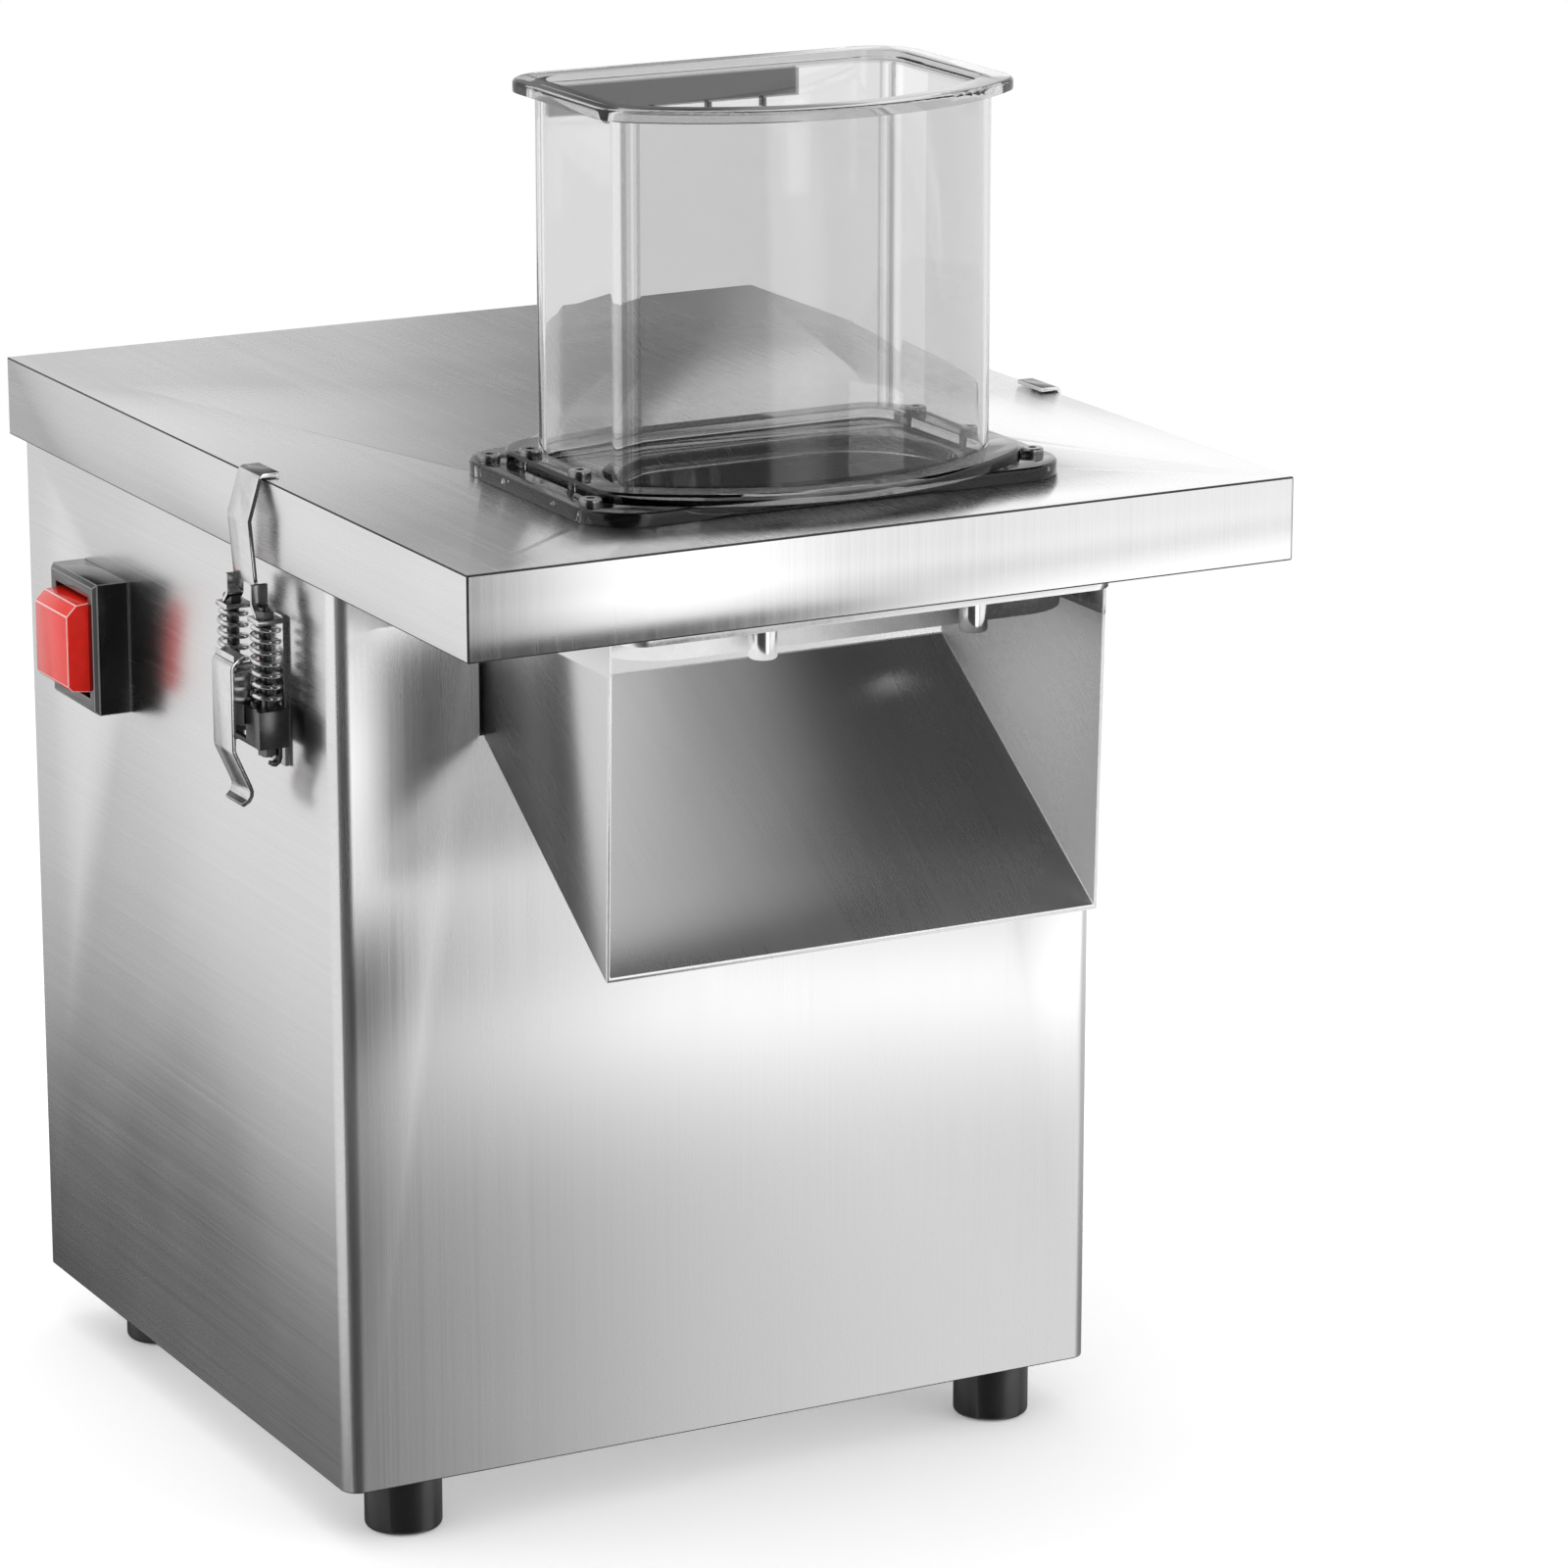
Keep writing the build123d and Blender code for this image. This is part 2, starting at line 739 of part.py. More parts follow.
def motor_stator():
    body = upright(0, motor_y, motor_body_bottom, motor_body_top, motor_diameter)
    fin_depth = 5.0
    fins = 28
    for i in range(fins):
        angle = math.radians(360 / fins * i)
        r = motor_diameter / 2
        groove = Pos(r * math.cos(angle), motor_y + r * math.sin(angle), motor_body_bottom)
        groove = groove * Rot(0, 0, math.degrees(angle)) * extrude(Rectangle(2 * fin_depth, 5.0),
                                                                   motor_height)
        body -= groove
    return body - upright(0, motor_y, motor_body_bottom - 1, motor_body_top + 1, 46)


def motor_cap(z, boss_z0, boss_z1):
    cap = upright(0, motor_y, z, z + motor_cap_height, motor_diameter - 4)
    cap += upright(0, motor_y, boss_z0, boss_z1, motor_boss - 2 * fit)
    return cap - upright(0, motor_y, z - 30, z + 60, motor_shaft_diameter + 2 * fit)


def motor_rotor_shaft():
    low = motor_bottom - fan_cover_height + 8
    top = pulley_bottom + pulley_height + 3
    shaft = upright(0, motor_y, low, top, motor_shaft_diameter)
    return shaft + upright(0, motor_y, motor_body_bottom + 4, motor_body_top - 4, 44)


def motor_fan():
    top = motor_bottom - 3.0
    fan = upright(0, motor_y, top - fan_height, top, 26)
    for i in range(8):
        blade = Pos(0, motor_y, top - fan_height / 2) * Rot(0, 0, 45 * i)
        fan += blade * Pos(fan_radius / 2, 0, 0) * Box(fan_radius, 2.4, fan_height)
    fan += upright(0, motor_y, top - 2.0, top, 2 * fan_radius - 8)
    return fan - upright(0, motor_y, top - fan_height - 1, top + 1, motor_shaft_diameter + 2 * fit)


def fan_cover():
    low = motor_bottom - fan_cover_height
    radius = motor_diameter / 2 - 2
    cover = upright(0, motor_y, low, motor_bottom, 2 * radius)
    cover -= upright(0, motor_y, low + 1.5, motor_bottom + 1, 2 * radius - 3)
    for ring in (16.0, 30.0, 44.0):
        count = round(ring / 3.2)
        for i in range(count):
            angle = math.radians(360 / count * i)
            cover -= upright(ring * math.cos(angle), motor_y + ring * math.sin(angle), low - 1, low + 3,
                             7.0)
    return cover


def capacitor_place():
    return -half_width + 52.0, front + 62.0, bottom + sheet + base_thickness + capacitor_diameter / 2 + 2.0


def run_capacitor():
    x, y, z = capacitor_place()
    can = along_y(x, y - capacitor_length / 2, y + capacitor_length / 2, z, capacitor_diameter)
    can = fillet(can.edges().group_by(Axis.Y)[0], 3.0)
    for side in (-1, 1):
        can += block(x + side * 8 - 3, x + side * 8 + 3, y + capacitor_length / 2,
                     y + capacitor_length / 2 + 9, z - 0.5, z + 0.5)
    return can


def capacitor_clip():
    x, y, z = capacitor_place()
    base = bottom + sheet + base_thickness
    width = 16.0
    ring = along_y(x, y - width / 2, y + width / 2, z, capacitor_diameter + 4)
    ring -= along_y(x, y - width, y + width, z, capacitor_diameter + 2 * fit)
    foot_half = capacitor_diameter / 2 + 14
    clip = ring + block(x - foot_half, x + foot_half, y - width / 2, y + width / 2, base, base + 2.0)
    return clip - along_y(x, y - width, y + width, z, capacitor_diameter + 2 * fit)


# Lid
def lid_tray():
    tray = block(-lid_half_width, lid_half_width, lid_front, lid_back, skirt_bottom, lid_top)
    inside = lid_half_width - sheet
    tray -= block(-inside, inside, lid_front + sheet, lid_back - sheet, skirt_bottom - 1, lid_under)
    tray -= feed_opening(lid_under - 1, lid_top + 1)
    for x, y in hopper_screw_places():
        nut_bottom = lid_under - hopper_nut_height
        tray += Pos(x, y, nut_bottom) * extrude(RegularPolygon(hopper_nut / 2, 6), hopper_nut_height + 0.1)
        tray -= upright(x, y, nut_bottom - 1, lid_top + 1, hopper_screw + 2 * fit)
    return tray


def feed_opening(z0, z1):
    y = front - feed_front + feed_depth / 2
    return Pos(0, y, z0) * extrude(SlotOverall(2 * feed_half_width, feed_depth), z1 - z0)


def hopper_outline(outset):
    half = hopper_half_width + outset
    y_back = front + hopper_back + outset
    y_side = front - hopper_side_front - outset * 0.6
    y_apex = front - hopper_side_front - hopper_bow - outset
    sides = Polyline((-half, y_side), (-half, y_back), (half, y_back), (half, y_side))
    bow = ThreePointArc((half, y_side), (0, y_apex), (-half, y_side))
    face = make_face([sides, bow])
    return fillet(face.vertices(), max(hopper_corner + outset * 0.6, 2.0))


hopper_base = lid_top + hopper_plate_height


def hopper():
    rim_top = lid_top + hopper_height + hopper_rim_height
    wall = Pos(0, 0, hopper_base) * extrude(hopper_outline(0), rim_top - hopper_base)
    rim = Pos(0, 0, rim_top - hopper_rim_height) * extrude(hopper_outline(hopper_rim_width),
                                                           hopper_rim_height)
    rim = fillet(rim.edges().group_by(Axis.Z)[-1], 1.2)
    flange = Pos(0, 0, hopper_base) * extrude(hopper_outline(hopper_flange_width), hopper_flange_height)
    flange = chamfer(flange.edges().group_by(Axis.Z)[-1], 0.7)
    body = wall + rim + flange
    body -= Pos(0, 0, hopper_base - 1) * extrude(hopper_outline(-hopper_wall), rim_top - hopper_base + 2)
    for x, y in hopper_clamp_places():
        body -= upright(x, y, hopper_base - 1, hopper_base + 10, hopper_screw + 2 * fit)
    return body


def hopper_clamp_places():
    x = hopper_half_width + hopper_flange_width / 2 + 0.2
    return [(sx * x, front + y) for sx in (-1, 1) for y in (-36.0, -2.0)]


def hopper_screw_places():
    x = hopper_plate_half_width - 6.0
    outer = [(sx * x, front + y) for sx in (-1, 1) for y in (-58.0, 12.0)]
    return outer + hopper_clamp_places()


def hopper_plate():
    plate = rounded_slab(hopper_plate_half_width, front - hopper_plate_front, front + hopper_plate_back,
                         lid_top,
                         hopper_base, hopper_plate_corner)
    plate = chamfer(plate.edges().group_by(Axis.Z)[-1], 0.6)
    plate -= feed_opening(lid_top - 1, hopper_base + 1)
    for x, y in hopper_screw_places():
        plate -= upright(x, y, lid_top - 1, hopper_base + 1, hopper_screw + 2 * fit)
    return plate


def hopper_screws():
    screws = []
    for x, y in hopper_screw_places():
        top = hopper_base
        if (x, y) in hopper_clamp_places():
            top = hopper_base + hopper_flange_height
        screw = upright(x, y, lid_under - hopper_nut_height - 1.0, top, hopper_screw)
        head = upright(x, y, top, top + 2.0, 7.0)
        head = fillet(head.edges().group_by(Axis.Z)[-1], 0.8)
        head -= Pos(x, y, top + 0.9) * extrude(RegularPolygon(1.4, 6), 3)
        screws.append(screw + head)
    return combine(screws)


# Rocker switch on the left wall
def switch_housing():
    y = front + switch_setback
    wall = -half_width
    frame = block(wall - switch_depth, wall, y - switch_width / 2, y + switch_width / 2,
                  switch_height - switch_length / 2, switch_height + switch_length / 2)
    outer_edges = frame.faces().sort_by(Axis.X)[0].edges()
    frame = chamfer(outer_edges, 1.4)
    frame -= block(wall - switch_depth - 1, wall + 1, *switch_cutout())
    return frame


def rocker():
    y0, y1, z0, z1 = switch_cutout()
    y0 += gap
    y1 -= gap
    z_mid = (z0 + z1) / 2
    half_z = (z1 - z0) / 2 - 1.4
    axis_x = -half_width - 2.0
    outer_x = -half_width - switch_depth - rocker_proud
    barrel = rocker_barrel / 2
    profile = make_face(Polyline((axis_x, z_mid - barrel), (axis_x - 4, z_mid - half_z),
                                 (outer_x + 1.5, z_mid - half_z + 1.4), (outer_x, z_mid - half_z + 3),
                                 (outer_x, z_mid + half_z - 4.5), (outer_x + 3.5, z_mid + half_z - 1.0),
                                 (axis_x - 4, z_mid + half_z), (axis_x, z_mid + barrel), close=True))
    body = Pos(0, y1, 0) * extrude(Plane.XZ * profile, y1 - y0)
    return body + along_y(axis_x, y0, y1, z_mid, rocker_barrel)


def switch_body():
    y0, y1, z0, z1 = switch_cutout()
    wall = -half_width
    shell = block(wall + 0.5, wall + switch_inner_depth, y0 + gap, y1 - gap, z0 + gap, z1 - gap)
    shell -= block(wall - 1, wall + 8, y0 + 2, y1 - 2, z0 + 2, z1 - 2)
    flange = block(wall + sheet, wall + sheet + 2, y0 - 3, y1 + 3, z0 - 3, z1 + 3)
    flange -= block(wall, wall + 8, y0 + 2, y1 - 2, z0 + 2, z1 - 2)
    shell += flange
    for i in range(4):
        z = z0 + 5 + i * 7
        shell += block(wall + switch_inner_depth, wall + switch_inner_depth + 8, (y0 + y1) / 2 - 3,
                       (y0 + y1) / 2 + 3, z - 0.4, z + 0.4)
    return shell


# Draw latches, drawn for the right side and mirrored to the left
latch_y = front + latch_setback
crank_height = latch_pivot_height - latch_crank
crank_out = latch_pivot_out - 1.0
yoke_low = crank_height - yoke_height / 2
yoke_top = crank_height + yoke_height / 2
spring_top = lid_top - hook_drop
ear_inner = 3.8
lever_inner = ear_inner + latch_sheet + 0.2


def outward(u0, u1, v0, v1, z0, z1):
    return block(half_width + u0, half_width + u1, latch_y + v0, latch_y + v1, z0, z1)


def pin_along(u, z, half_length, diameter):
    return along_y(half_width + u, latch_y - half_length, latch_y + half_length, z, diameter)


def latch_base():
    plate = outward(0, latch_sheet, -11.0, 11.0, yoke_low - 8, latch_pivot_height + 22)
    base = plate
    for side in (-1, 1):
        inner = side * ear_inner
        outer = side * (ear_inner + latch_sheet)
        ear = outward(0.5, latch_pivot_out, min(inner, outer), max(inner, outer), latch_pivot_height - 4.5,
                      latch_pivot_height + 4.5)
        mid = latch_y + (inner + outer) / 2
        nose = along_y(half_width + latch_pivot_out, mid - latch_sheet / 2, mid + latch_sheet / 2,
                       latch_pivot_height, 9.0)
        base += ear + nose
    base -= pin_along(latch_pivot_out, latch_pivot_height, 20, latch_pin + 2 * fit)
    for z in (yoke_low - 3, latch_pivot_height + 16):
        base -= along_x(half_width - 1, half_width + 5, latch_y, z, 3.4)
    return base


def latch_rivets():
    rivets = []
    for z in (yoke_low - 3, latch_pivot_height + 16):
        rivet = along_x(half_width + latch_sheet, half_width + latch_sheet + 1.2, latch_y, z, 6.0)
        rivet += along_x(half_width, half_width + latch_sheet, latch_y, z, 3.3)
        rivets.append(rivet)
    return rivets


def latch_lever():
    back_u = lever_out
    spine = [(back_u, latch_pivot_height + lever_above), (back_u, yoke_low - 6),
             (back_u - 5.0, yoke_low - 16),
             (back_u - 4.0, yoke_low - 21), (back_u + 1.5, yoke_low - 25)]
    points = [(half_width + u, z) for u, z in spine]
    line = Polyline(*points)
    strip = extrude(Plane.XZ * trace(line, latch_sheet), 2 * lever_half_width)
    lever = Pos(0, latch_y + lever_half_width, 0) * strip
    for side in (-1, 1):
        inner = side * lever_inner
        outer = side * (lever_inner + latch_sheet)
        mid = latch_y + (inner + outer) / 2
        cheek = outward(crank_out - 4, back_u, min(inner, outer), max(inner, outer), crank_height,
                        latch_pivot_height)
        nose_pair = along_y(half_width + crank_out, mid - latch_sheet / 2, mid + latch_sheet / 2,
                            crank_height, 8.0)
        nose_pair += along_y(half_width + latch_pivot_out, mid - latch_sheet / 2, mid + latch_sheet / 2,
                             latch_pivot_height, 9.0)
        cheek += outward(latch_pivot_out, back_u, min(inner, outer), max(inner, outer), latch_pivot_height,
                         latch_pivot_height + 4.5)
        lever += cheek + nose_pair
    lever -= pin_along(latch_pivot_out, latch_pivot_height, 20, latch_pin + 2 * fit)
    lever -= pin_along(crank_out, crank_height, 20, latch_pin + 2 * fit)
    return lever


def latch_pins():
    pivot = pin_along(latch_pivot_out, latch_pivot_height, lever_inner + latch_sheet, latch_pin)
    crank_half = spring_offset - rod_diameter / 2 - 2 * yoke_gap
    return combine([pivot, pin_along(crank_out, crank_height, crank_half, latch_pin)])


def latch_yoke():
    near = crank_out - yoke_depth / 2
    far = crank_out + yoke_depth / 2
    yoke = outward(near, far, -yoke_half_width, yoke_half_width, yoke_low, yoke_top)
    middle = lever_inner + latch_sheet + yoke_gap
    yoke -= outward(near - 1, far - yoke_bridge, -middle, middle, yoke_low - 1, yoke_top + 1)
    yoke -= outward(near - 1, far + 1, -middle, middle, yoke_low + yoke_bridge_height, yoke_top + 1)
    for side in (-1, 1):
        y = latch_y + side * spring_offset
        yoke -= upright(half_width + crank_out, y, yoke_low - 1, yoke_top + 1, rod_diameter + 2 * fit)
    crank_half = spring_offset - rod_diameter / 2 - yoke_gap
    yoke -= pin_along(crank_out, crank_height, crank_half, latch_pin + 2 * fit)
    return yoke


def latch_rods():
    rods = []
    for side in (-1, 1):
        x = half_width + crank_out
        y = latch_y + side * spring_offset
        rod = upright(x, y, yoke_low - 3.4, spring_top + latch_sheet + 3.4, rod_diameter)
        rod += Pos(x, y, yoke_low - 2.8) * extrude(RegularPolygon(rod_nut / 2, 6), 2.8)
        rod += Pos(x, y, spring_top + latch_sheet) * extrude(RegularPolygon(rod_nut / 2, 6), 2.4)
        rods.append(rod)
    return combine(rods)


def latch_springs():
    height = spring_top - yoke_top
    springs = []
    for side in (-1, 1):
        x = half_width + crank_out
        y = latch_y + side * spring_offset
        radius = (spring_diameter - spring_wire) / 2
        rise = height - spring_wire - 0.2
        path = Helix(rise / spring_turns, rise, radius)
        start = Plane(path @ 0, z_dir=path % 0)
        wire = sweep(start * Circle(spring_wire / 2), path, is_frenet=True)
        springs.append(Pos(x, y, yoke_top + spring_wire / 2 + 0.1) * wire)
    return combine(springs)


def latch_hook():
    claw_under = lid_top + claw_clearance
    claw_mid = claw_under + latch_sheet / 2
    edge = lid_side_overhang + claw_clearance + latch_sheet / 2
    tip = lid_side_overhang - claw_reach
    spine = [(tip, claw_mid), (edge, claw_mid), (edge + 4.0, lid_top - 13.0),
             (crank_out + 1.0, spring_top + 14.0)]
    points = [(half_width + u, z) for u, z in spine]
    strip = extrude(Plane.XZ * trace(Polyline(*points), latch_sheet), hook_width)
    hook = Pos(0, latch_y + hook_width / 2, 0) * strip
    leg_u = crank_out + 1.0
    leg_back = leg_u + 2.8
    shoulder = spring_top + 14.0
    hook += outward(leg_u - latch_sheet / 2, leg_u + latch_sheet / 2, -hook_leg_outer, hook_leg_outer,
                    shoulder - 3,
                    shoulder + 1)
    for side in (-1, 1):
        inner = side * (spring_offset - 4.5)
        outer = side * hook_leg_outer
        y0 = min(inner, outer)
        y1 = max(inner, outer)
        hook += outward(leg_back, leg_back + latch_sheet, y0, y1, spring_top, shoulder + 1)
        hook += outward(leg_u - latch_sheet / 2, leg_back + latch_sheet, y0, y1, shoulder - 0.5,
                        shoulder + 1)
        hook += outward(crank_out - 4.5, leg_back + latch_sheet, y0, y1, spring_top,
                        spring_top + latch_sheet)
        hook -= upright(half_width + crank_out, latch_y + side * spring_offset, spring_top - 1,
                        spring_top + 3,
                        rod_diameter + 2 * fit)
    return hook


latch_makers = {
    "latch_base": latch_base,
    "latch_lever": latch_lever,
    "latch_pins": latch_pins,
    "latch_yoke": latch_yoke,
    "latch_rods": latch_rods,
    "latch_springs": latch_springs,
    "latch_hook": latch_hook,
}


# Lid safety switch


def switch_guide():
    guide = upright(plunger_side, plunger_y, deck_bottom, deck_top + 8, guide_diameter)
    guide += upright(plunger_side, plunger_y, deck_top, deck_top + 3, guide_diameter + 5)
    return guide - upright(plunger_side, plunger_y, deck_bottom - 1, deck_top + 10,
                           plunger_diameter + 2 * fit)


def lid_plunger():
    low = deck_bottom - 6.0
    top = lid_under - 0.2
    pin = upright(plunger_side, plunger_y, low, top, plunger_diameter)
    return fillet(pin.edges().group_by(Axis.Z)[-1], 1.2)


def lid_switch():
    top = deck_bottom - 8.0
    x0 = plunger_side - micro_depth / 2
    body = block(x0, x0 + micro_depth, plunger_y - micro_width / 2, plunger_y + micro_width / 2,
                 top - micro_height, top)
    for dy in (-9.0, 0.0, 9.0):
        body += block(x0 + 3, x0 + 7, plunger_y + dy - 0.4, plunger_y + dy + 0.4, top - micro_height - 6,
                      top - micro_height)
    x1 = x0 + micro_depth
    body += block(x1, x1 + sheet, plunger_y - micro_width / 2, plunger_y + micro_width / 2,
                  top - micro_height, deck_bottom)
    foot = block(x1, x1 + 12.0, plunger_y - micro_width / 2, plunger_y + micro_width / 2,
                 deck_bottom - sheet, deck_bottom)
    return body + foot


pieces = {
    "housing_shell": housing_shell,
    "base_plate": base_plate,
    "rubber_feet": rubber_feet,
    "foot_bolts": foot_bolts,
    "rear_cover": rear_cover,
    "cover_screws": cover_screws,
    "power_inlet": power_inlet,
    "discharge_chute": discharge_chute,
    "deck_pan": deck_pan,
    "lid_gasket": lid_gasket,
    "grid_frame": grid_frame,
    "grid_bolts": grid_bolts,
    "cross_knives": cross_knives,
    "long_knives": long_knives,
    "cutter_disc": cutter_disc,
    "slicing_blade": slicing_blade,
    "blade_screws": blade_screws,
    "disc_knob": disc_knob,
    "drive_shaft": drive_shaft,
    "bearing_housing": bearing_housing,
    "shaft_seal": shaft_seal,
    "bearing_screws": bearing_screws,
    "driven_pulley": driven_pulley,
    "motor_pulley": motor_pulley,
    "drive_belt": drive_belt,
    "motor_bracket": motor_bracket,
    "motor_stator": motor_stator,
    "motor_shaft": motor_rotor_shaft,
    "motor_fan": motor_fan,
    "fan_cover": fan_cover,
    "run_capacitor": run_capacitor,
    "capacitor_clip": capacitor_clip,
    "lid_tray": lid_tray,
    "hopper": hopper,
    "hopper_plate": hopper_plate,
    "hopper_screws": hopper_screws,
    "switch_housing": switch_housing,
    "rocker": rocker,
    "switch_body": switch_body,
    "switch_guide": switch_guide,
    "lid_plunger": lid_plunger,
    "lid_switch": lid_switch,
}

for node, maker in pieces.items():
    save(maker(), node)

housing_low = deck_bottom - bearing_housing_height
save(combine([bearing(housing_low + bearing_shoulder),
              bearing(deck_bottom - bearing_shoulder - bearing_width)]), "shaft_bearings")
motor_caps = [motor_cap(motor_body_top, motor_top, motor_plate_top),
              motor_cap(motor_bottom, motor_bottom, motor_body_bottom)]
save(combine(motor_caps), "motor_caps")

for name, maker in latch_makers.items():
    shape = maker()
    save(shape, f"{name}_right")
    save(mirror(shape, Plane.YZ), f"{name}_left")

rivets = latch_rivets()
save(combine(rivets + [mirror(rivet, Plane.YZ) for rivet in rivets]), "latch_rivets")
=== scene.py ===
import json
import math
import bpy
from mathutils import Matrix, Vector


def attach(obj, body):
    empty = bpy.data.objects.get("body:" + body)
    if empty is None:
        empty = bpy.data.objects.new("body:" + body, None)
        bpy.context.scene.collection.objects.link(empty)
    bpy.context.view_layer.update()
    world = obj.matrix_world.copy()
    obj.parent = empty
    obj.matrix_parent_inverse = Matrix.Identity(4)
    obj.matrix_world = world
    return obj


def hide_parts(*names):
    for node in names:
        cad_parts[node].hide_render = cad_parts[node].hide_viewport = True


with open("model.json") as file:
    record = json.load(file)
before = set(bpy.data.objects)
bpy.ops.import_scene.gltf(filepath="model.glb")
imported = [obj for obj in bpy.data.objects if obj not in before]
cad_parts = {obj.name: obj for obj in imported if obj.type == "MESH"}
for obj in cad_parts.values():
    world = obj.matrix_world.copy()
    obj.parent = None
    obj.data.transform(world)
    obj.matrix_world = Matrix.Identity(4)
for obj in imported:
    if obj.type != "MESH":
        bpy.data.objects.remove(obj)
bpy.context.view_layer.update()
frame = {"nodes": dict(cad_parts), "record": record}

mm = 0.001
sharpAngle = 32    # degrees: flatter edges are shaded smooth


# Small helpers

def deselectAll():
    if bpy.context.object and bpy.context.object.mode != "OBJECT":
        bpy.ops.object.mode_set(mode="OBJECT")
    bpy.ops.object.select_all(action="DESELECT")


def makeActive(obj):
    deselectAll()
    obj.select_set(True)
    bpy.context.view_layer.objects.active = obj


def applyAll(obj):
    makeActive(obj)
    for modifier in list(obj.modifiers):
        bpy.ops.object.modifier_apply(modifier=modifier.name)
    bpy.ops.object.transform_apply(location=True, rotation=True, scale=True)


def setMaterial(obj, material):
    if len(obj.data.materials) < 2:
        obj.data.materials.clear()
        obj.data.materials.append(material)
    obj.data.materials[0] = material


def finishPiece(obj, name, body, material, nodes=()):
    obj.name = name
    obj.data.name = name
    setMaterial(obj, material)
    makeActive(obj)
    bpy.ops.object.shade_smooth_by_angle(angle=math.radians(sharpAngle))
    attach(obj, body)
    if nodes:
        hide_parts(*nodes)


def copyOfNode(node, name):
    source = frame["nodes"][node]
    piece = source.copy()
    piece.data = source.data.copy()
    piece.parent = None
    piece.matrix_world = Matrix.Identity(4)
    bpy.context.scene.collection.objects.link(piece)
    for key in list(piece.keys()):
        del piece[key]
    piece.name = name
    makeActive(piece)
    bpy.ops.object.mode_set(mode="EDIT")
    bpy.ops.mesh.select_all(action="SELECT")
    bpy.ops.mesh.remove_doubles(threshold=1e-6)
    bpy.ops.mesh.customdata_custom_splitnormals_clear()
    bpy.ops.mesh.dissolve_limited(angle_limit=math.radians(0.5))
    bpy.ops.object.mode_set(mode="OBJECT")
    return piece


# Rounds the edges sharper than angle; the rounded strips take the given edge material, which paints highlights
# and dark reflection lines along the edges
def bevelled(piece, width, segments=2, angle=35, edgeReflectionLook=None, clamp=True):
    bevel = piece.modifiers.new("edges", "BEVEL")
    if edgeReflectionLook:
        piece.data.materials.clear()
        piece.data.materials.append(None)
        piece.data.materials.append(edgeReflectionLook)
        bevel.material = 1
    bevel.width = width * mm
    bevel.segments = segments
    bevel.limit_method = "ANGLE"
    bevel.angle_limit = math.radians(angle)
    bevel.use_clamp_overlap = clamp
    bevel.harden_normals = False
    applyAll(piece)


def turnFacesOut():
    bpy.ops.object.mode_set(mode="EDIT")
    bpy.ops.mesh.select_all(action="SELECT")
    bpy.ops.mesh.normals_make_consistent(inside=False)
    bpy.ops.object.mode_set(mode="OBJECT")


def cutBox(piece, low, high):
    deselectAll()
    middle = [(a + b) / 2 for a, b in zip(low, high)]
    size = [b - a for a, b in zip(low, high)]
    bpy.ops.mesh.primitive_cube_add(size=1, location=middle)
    cutter = bpy.context.object
    cutter.scale = size
    bpy.ops.object.transform_apply(location=True, rotation=True, scale=True)
    cut = piece.modifiers.new("cut", "BOOLEAN")
    cut.operation = "DIFFERENCE"
    cut.solver = "EXACT"
    cut.object = cutter
    makeActive(piece)
    bpy.ops.object.modifier_apply(modifier=cut.name)
    bpy.data.objects.remove(cutter, do_unlink=True)


# A bent strip: one face pulled along a path of (x, z) points, then given its thickness.
# widths has one factor for each step after the first, each on top of the one before
def foldedStrip(points, halfWidth, thickness, y, bevel, widths=None):
    (x0, z0), (x1, z1) = points[:2]
    deselectAll()
    bpy.ops.mesh.primitive_plane_add(size=1, location=(0, 0, 0))
    strip = bpy.context.object
    strip.scale = (math.hypot(x1 - x0, z1 - z0) * mm, 2 * halfWidth * mm, 1)
    strip.rotation_euler = (0, -math.atan2(z1 - z0, x1 - x0), 0)
    strip.location = ((x0 + x1) / 2 * mm, y * mm, (z0 + z1) / 2 * mm)
    bpy.ops.object.transform_apply(location=True, rotation=True, scale=True)
    for edge in strip.data.edges:
        edge.select = False
    for face in strip.data.polygons:
        face.select = False
    for vertex in strip.data.vertices:
        vertex.select = math.hypot(vertex.co.x - x1 * mm, vertex.co.z - z1 * mm) < 1e-5
    bpy.ops.object.mode_set(mode="EDIT")
    bpy.ops.mesh.select_mode(type="VERT")
    bpy.ops.mesh.select_mode(type="EDGE")
    for index, (start, end) in enumerate(zip(points[1:], points[2:])):
        step = ((end[0] - start[0]) * mm, 0, (end[1] - start[1]) * mm)
        bpy.ops.mesh.extrude_region_move(TRANSFORM_OT_translate={"value": step})
        if widths:
            bpy.ops.transform.resize(value=(1, widths[index], 1), center_override=(0, y * mm, 0))
    bpy.ops.object.mode_set(mode="OBJECT")
    shell = strip.modifiers.new("sheet", "SOLIDIFY")
    shell.thickness = thickness * mm
    shell.offset = 0
    applyAll(strip)
    turnFacesOut()
    bevelled(strip, bevel)
    return strip


def joined(parts):
    deselectAll()
    for part in parts:
        part.select_set(True)
    bpy.context.view_layer.objects.active = parts[0]
    bpy.ops.object.join()
    return bpy.context.object


def mirroredX(piece):
    makeActive(piece)
    bpy.ops.object.duplicate(linked=False)
    other = bpy.context.object
    other.scale = (-1, 1, 1)
    bpy.ops.object.transform_apply(location=True, rotation=True, scale=True)
    turnFacesOut()
    return other


# Material building blocks

def newMaterial(name):
    material = bpy.data.materials.new(name)
    material.use_nodes = True
    tree = material.node_tree
    shader = tree.nodes["Principled BSDF"]
    return material, tree, shader


def addNode(tree, kind, **values):
    node = tree.nodes.new(kind)
    for key, value in values.items():
        if key in node.inputs:
            node.inputs[key].default_value = value
        else:
            setattr(node, key, value)
    return node


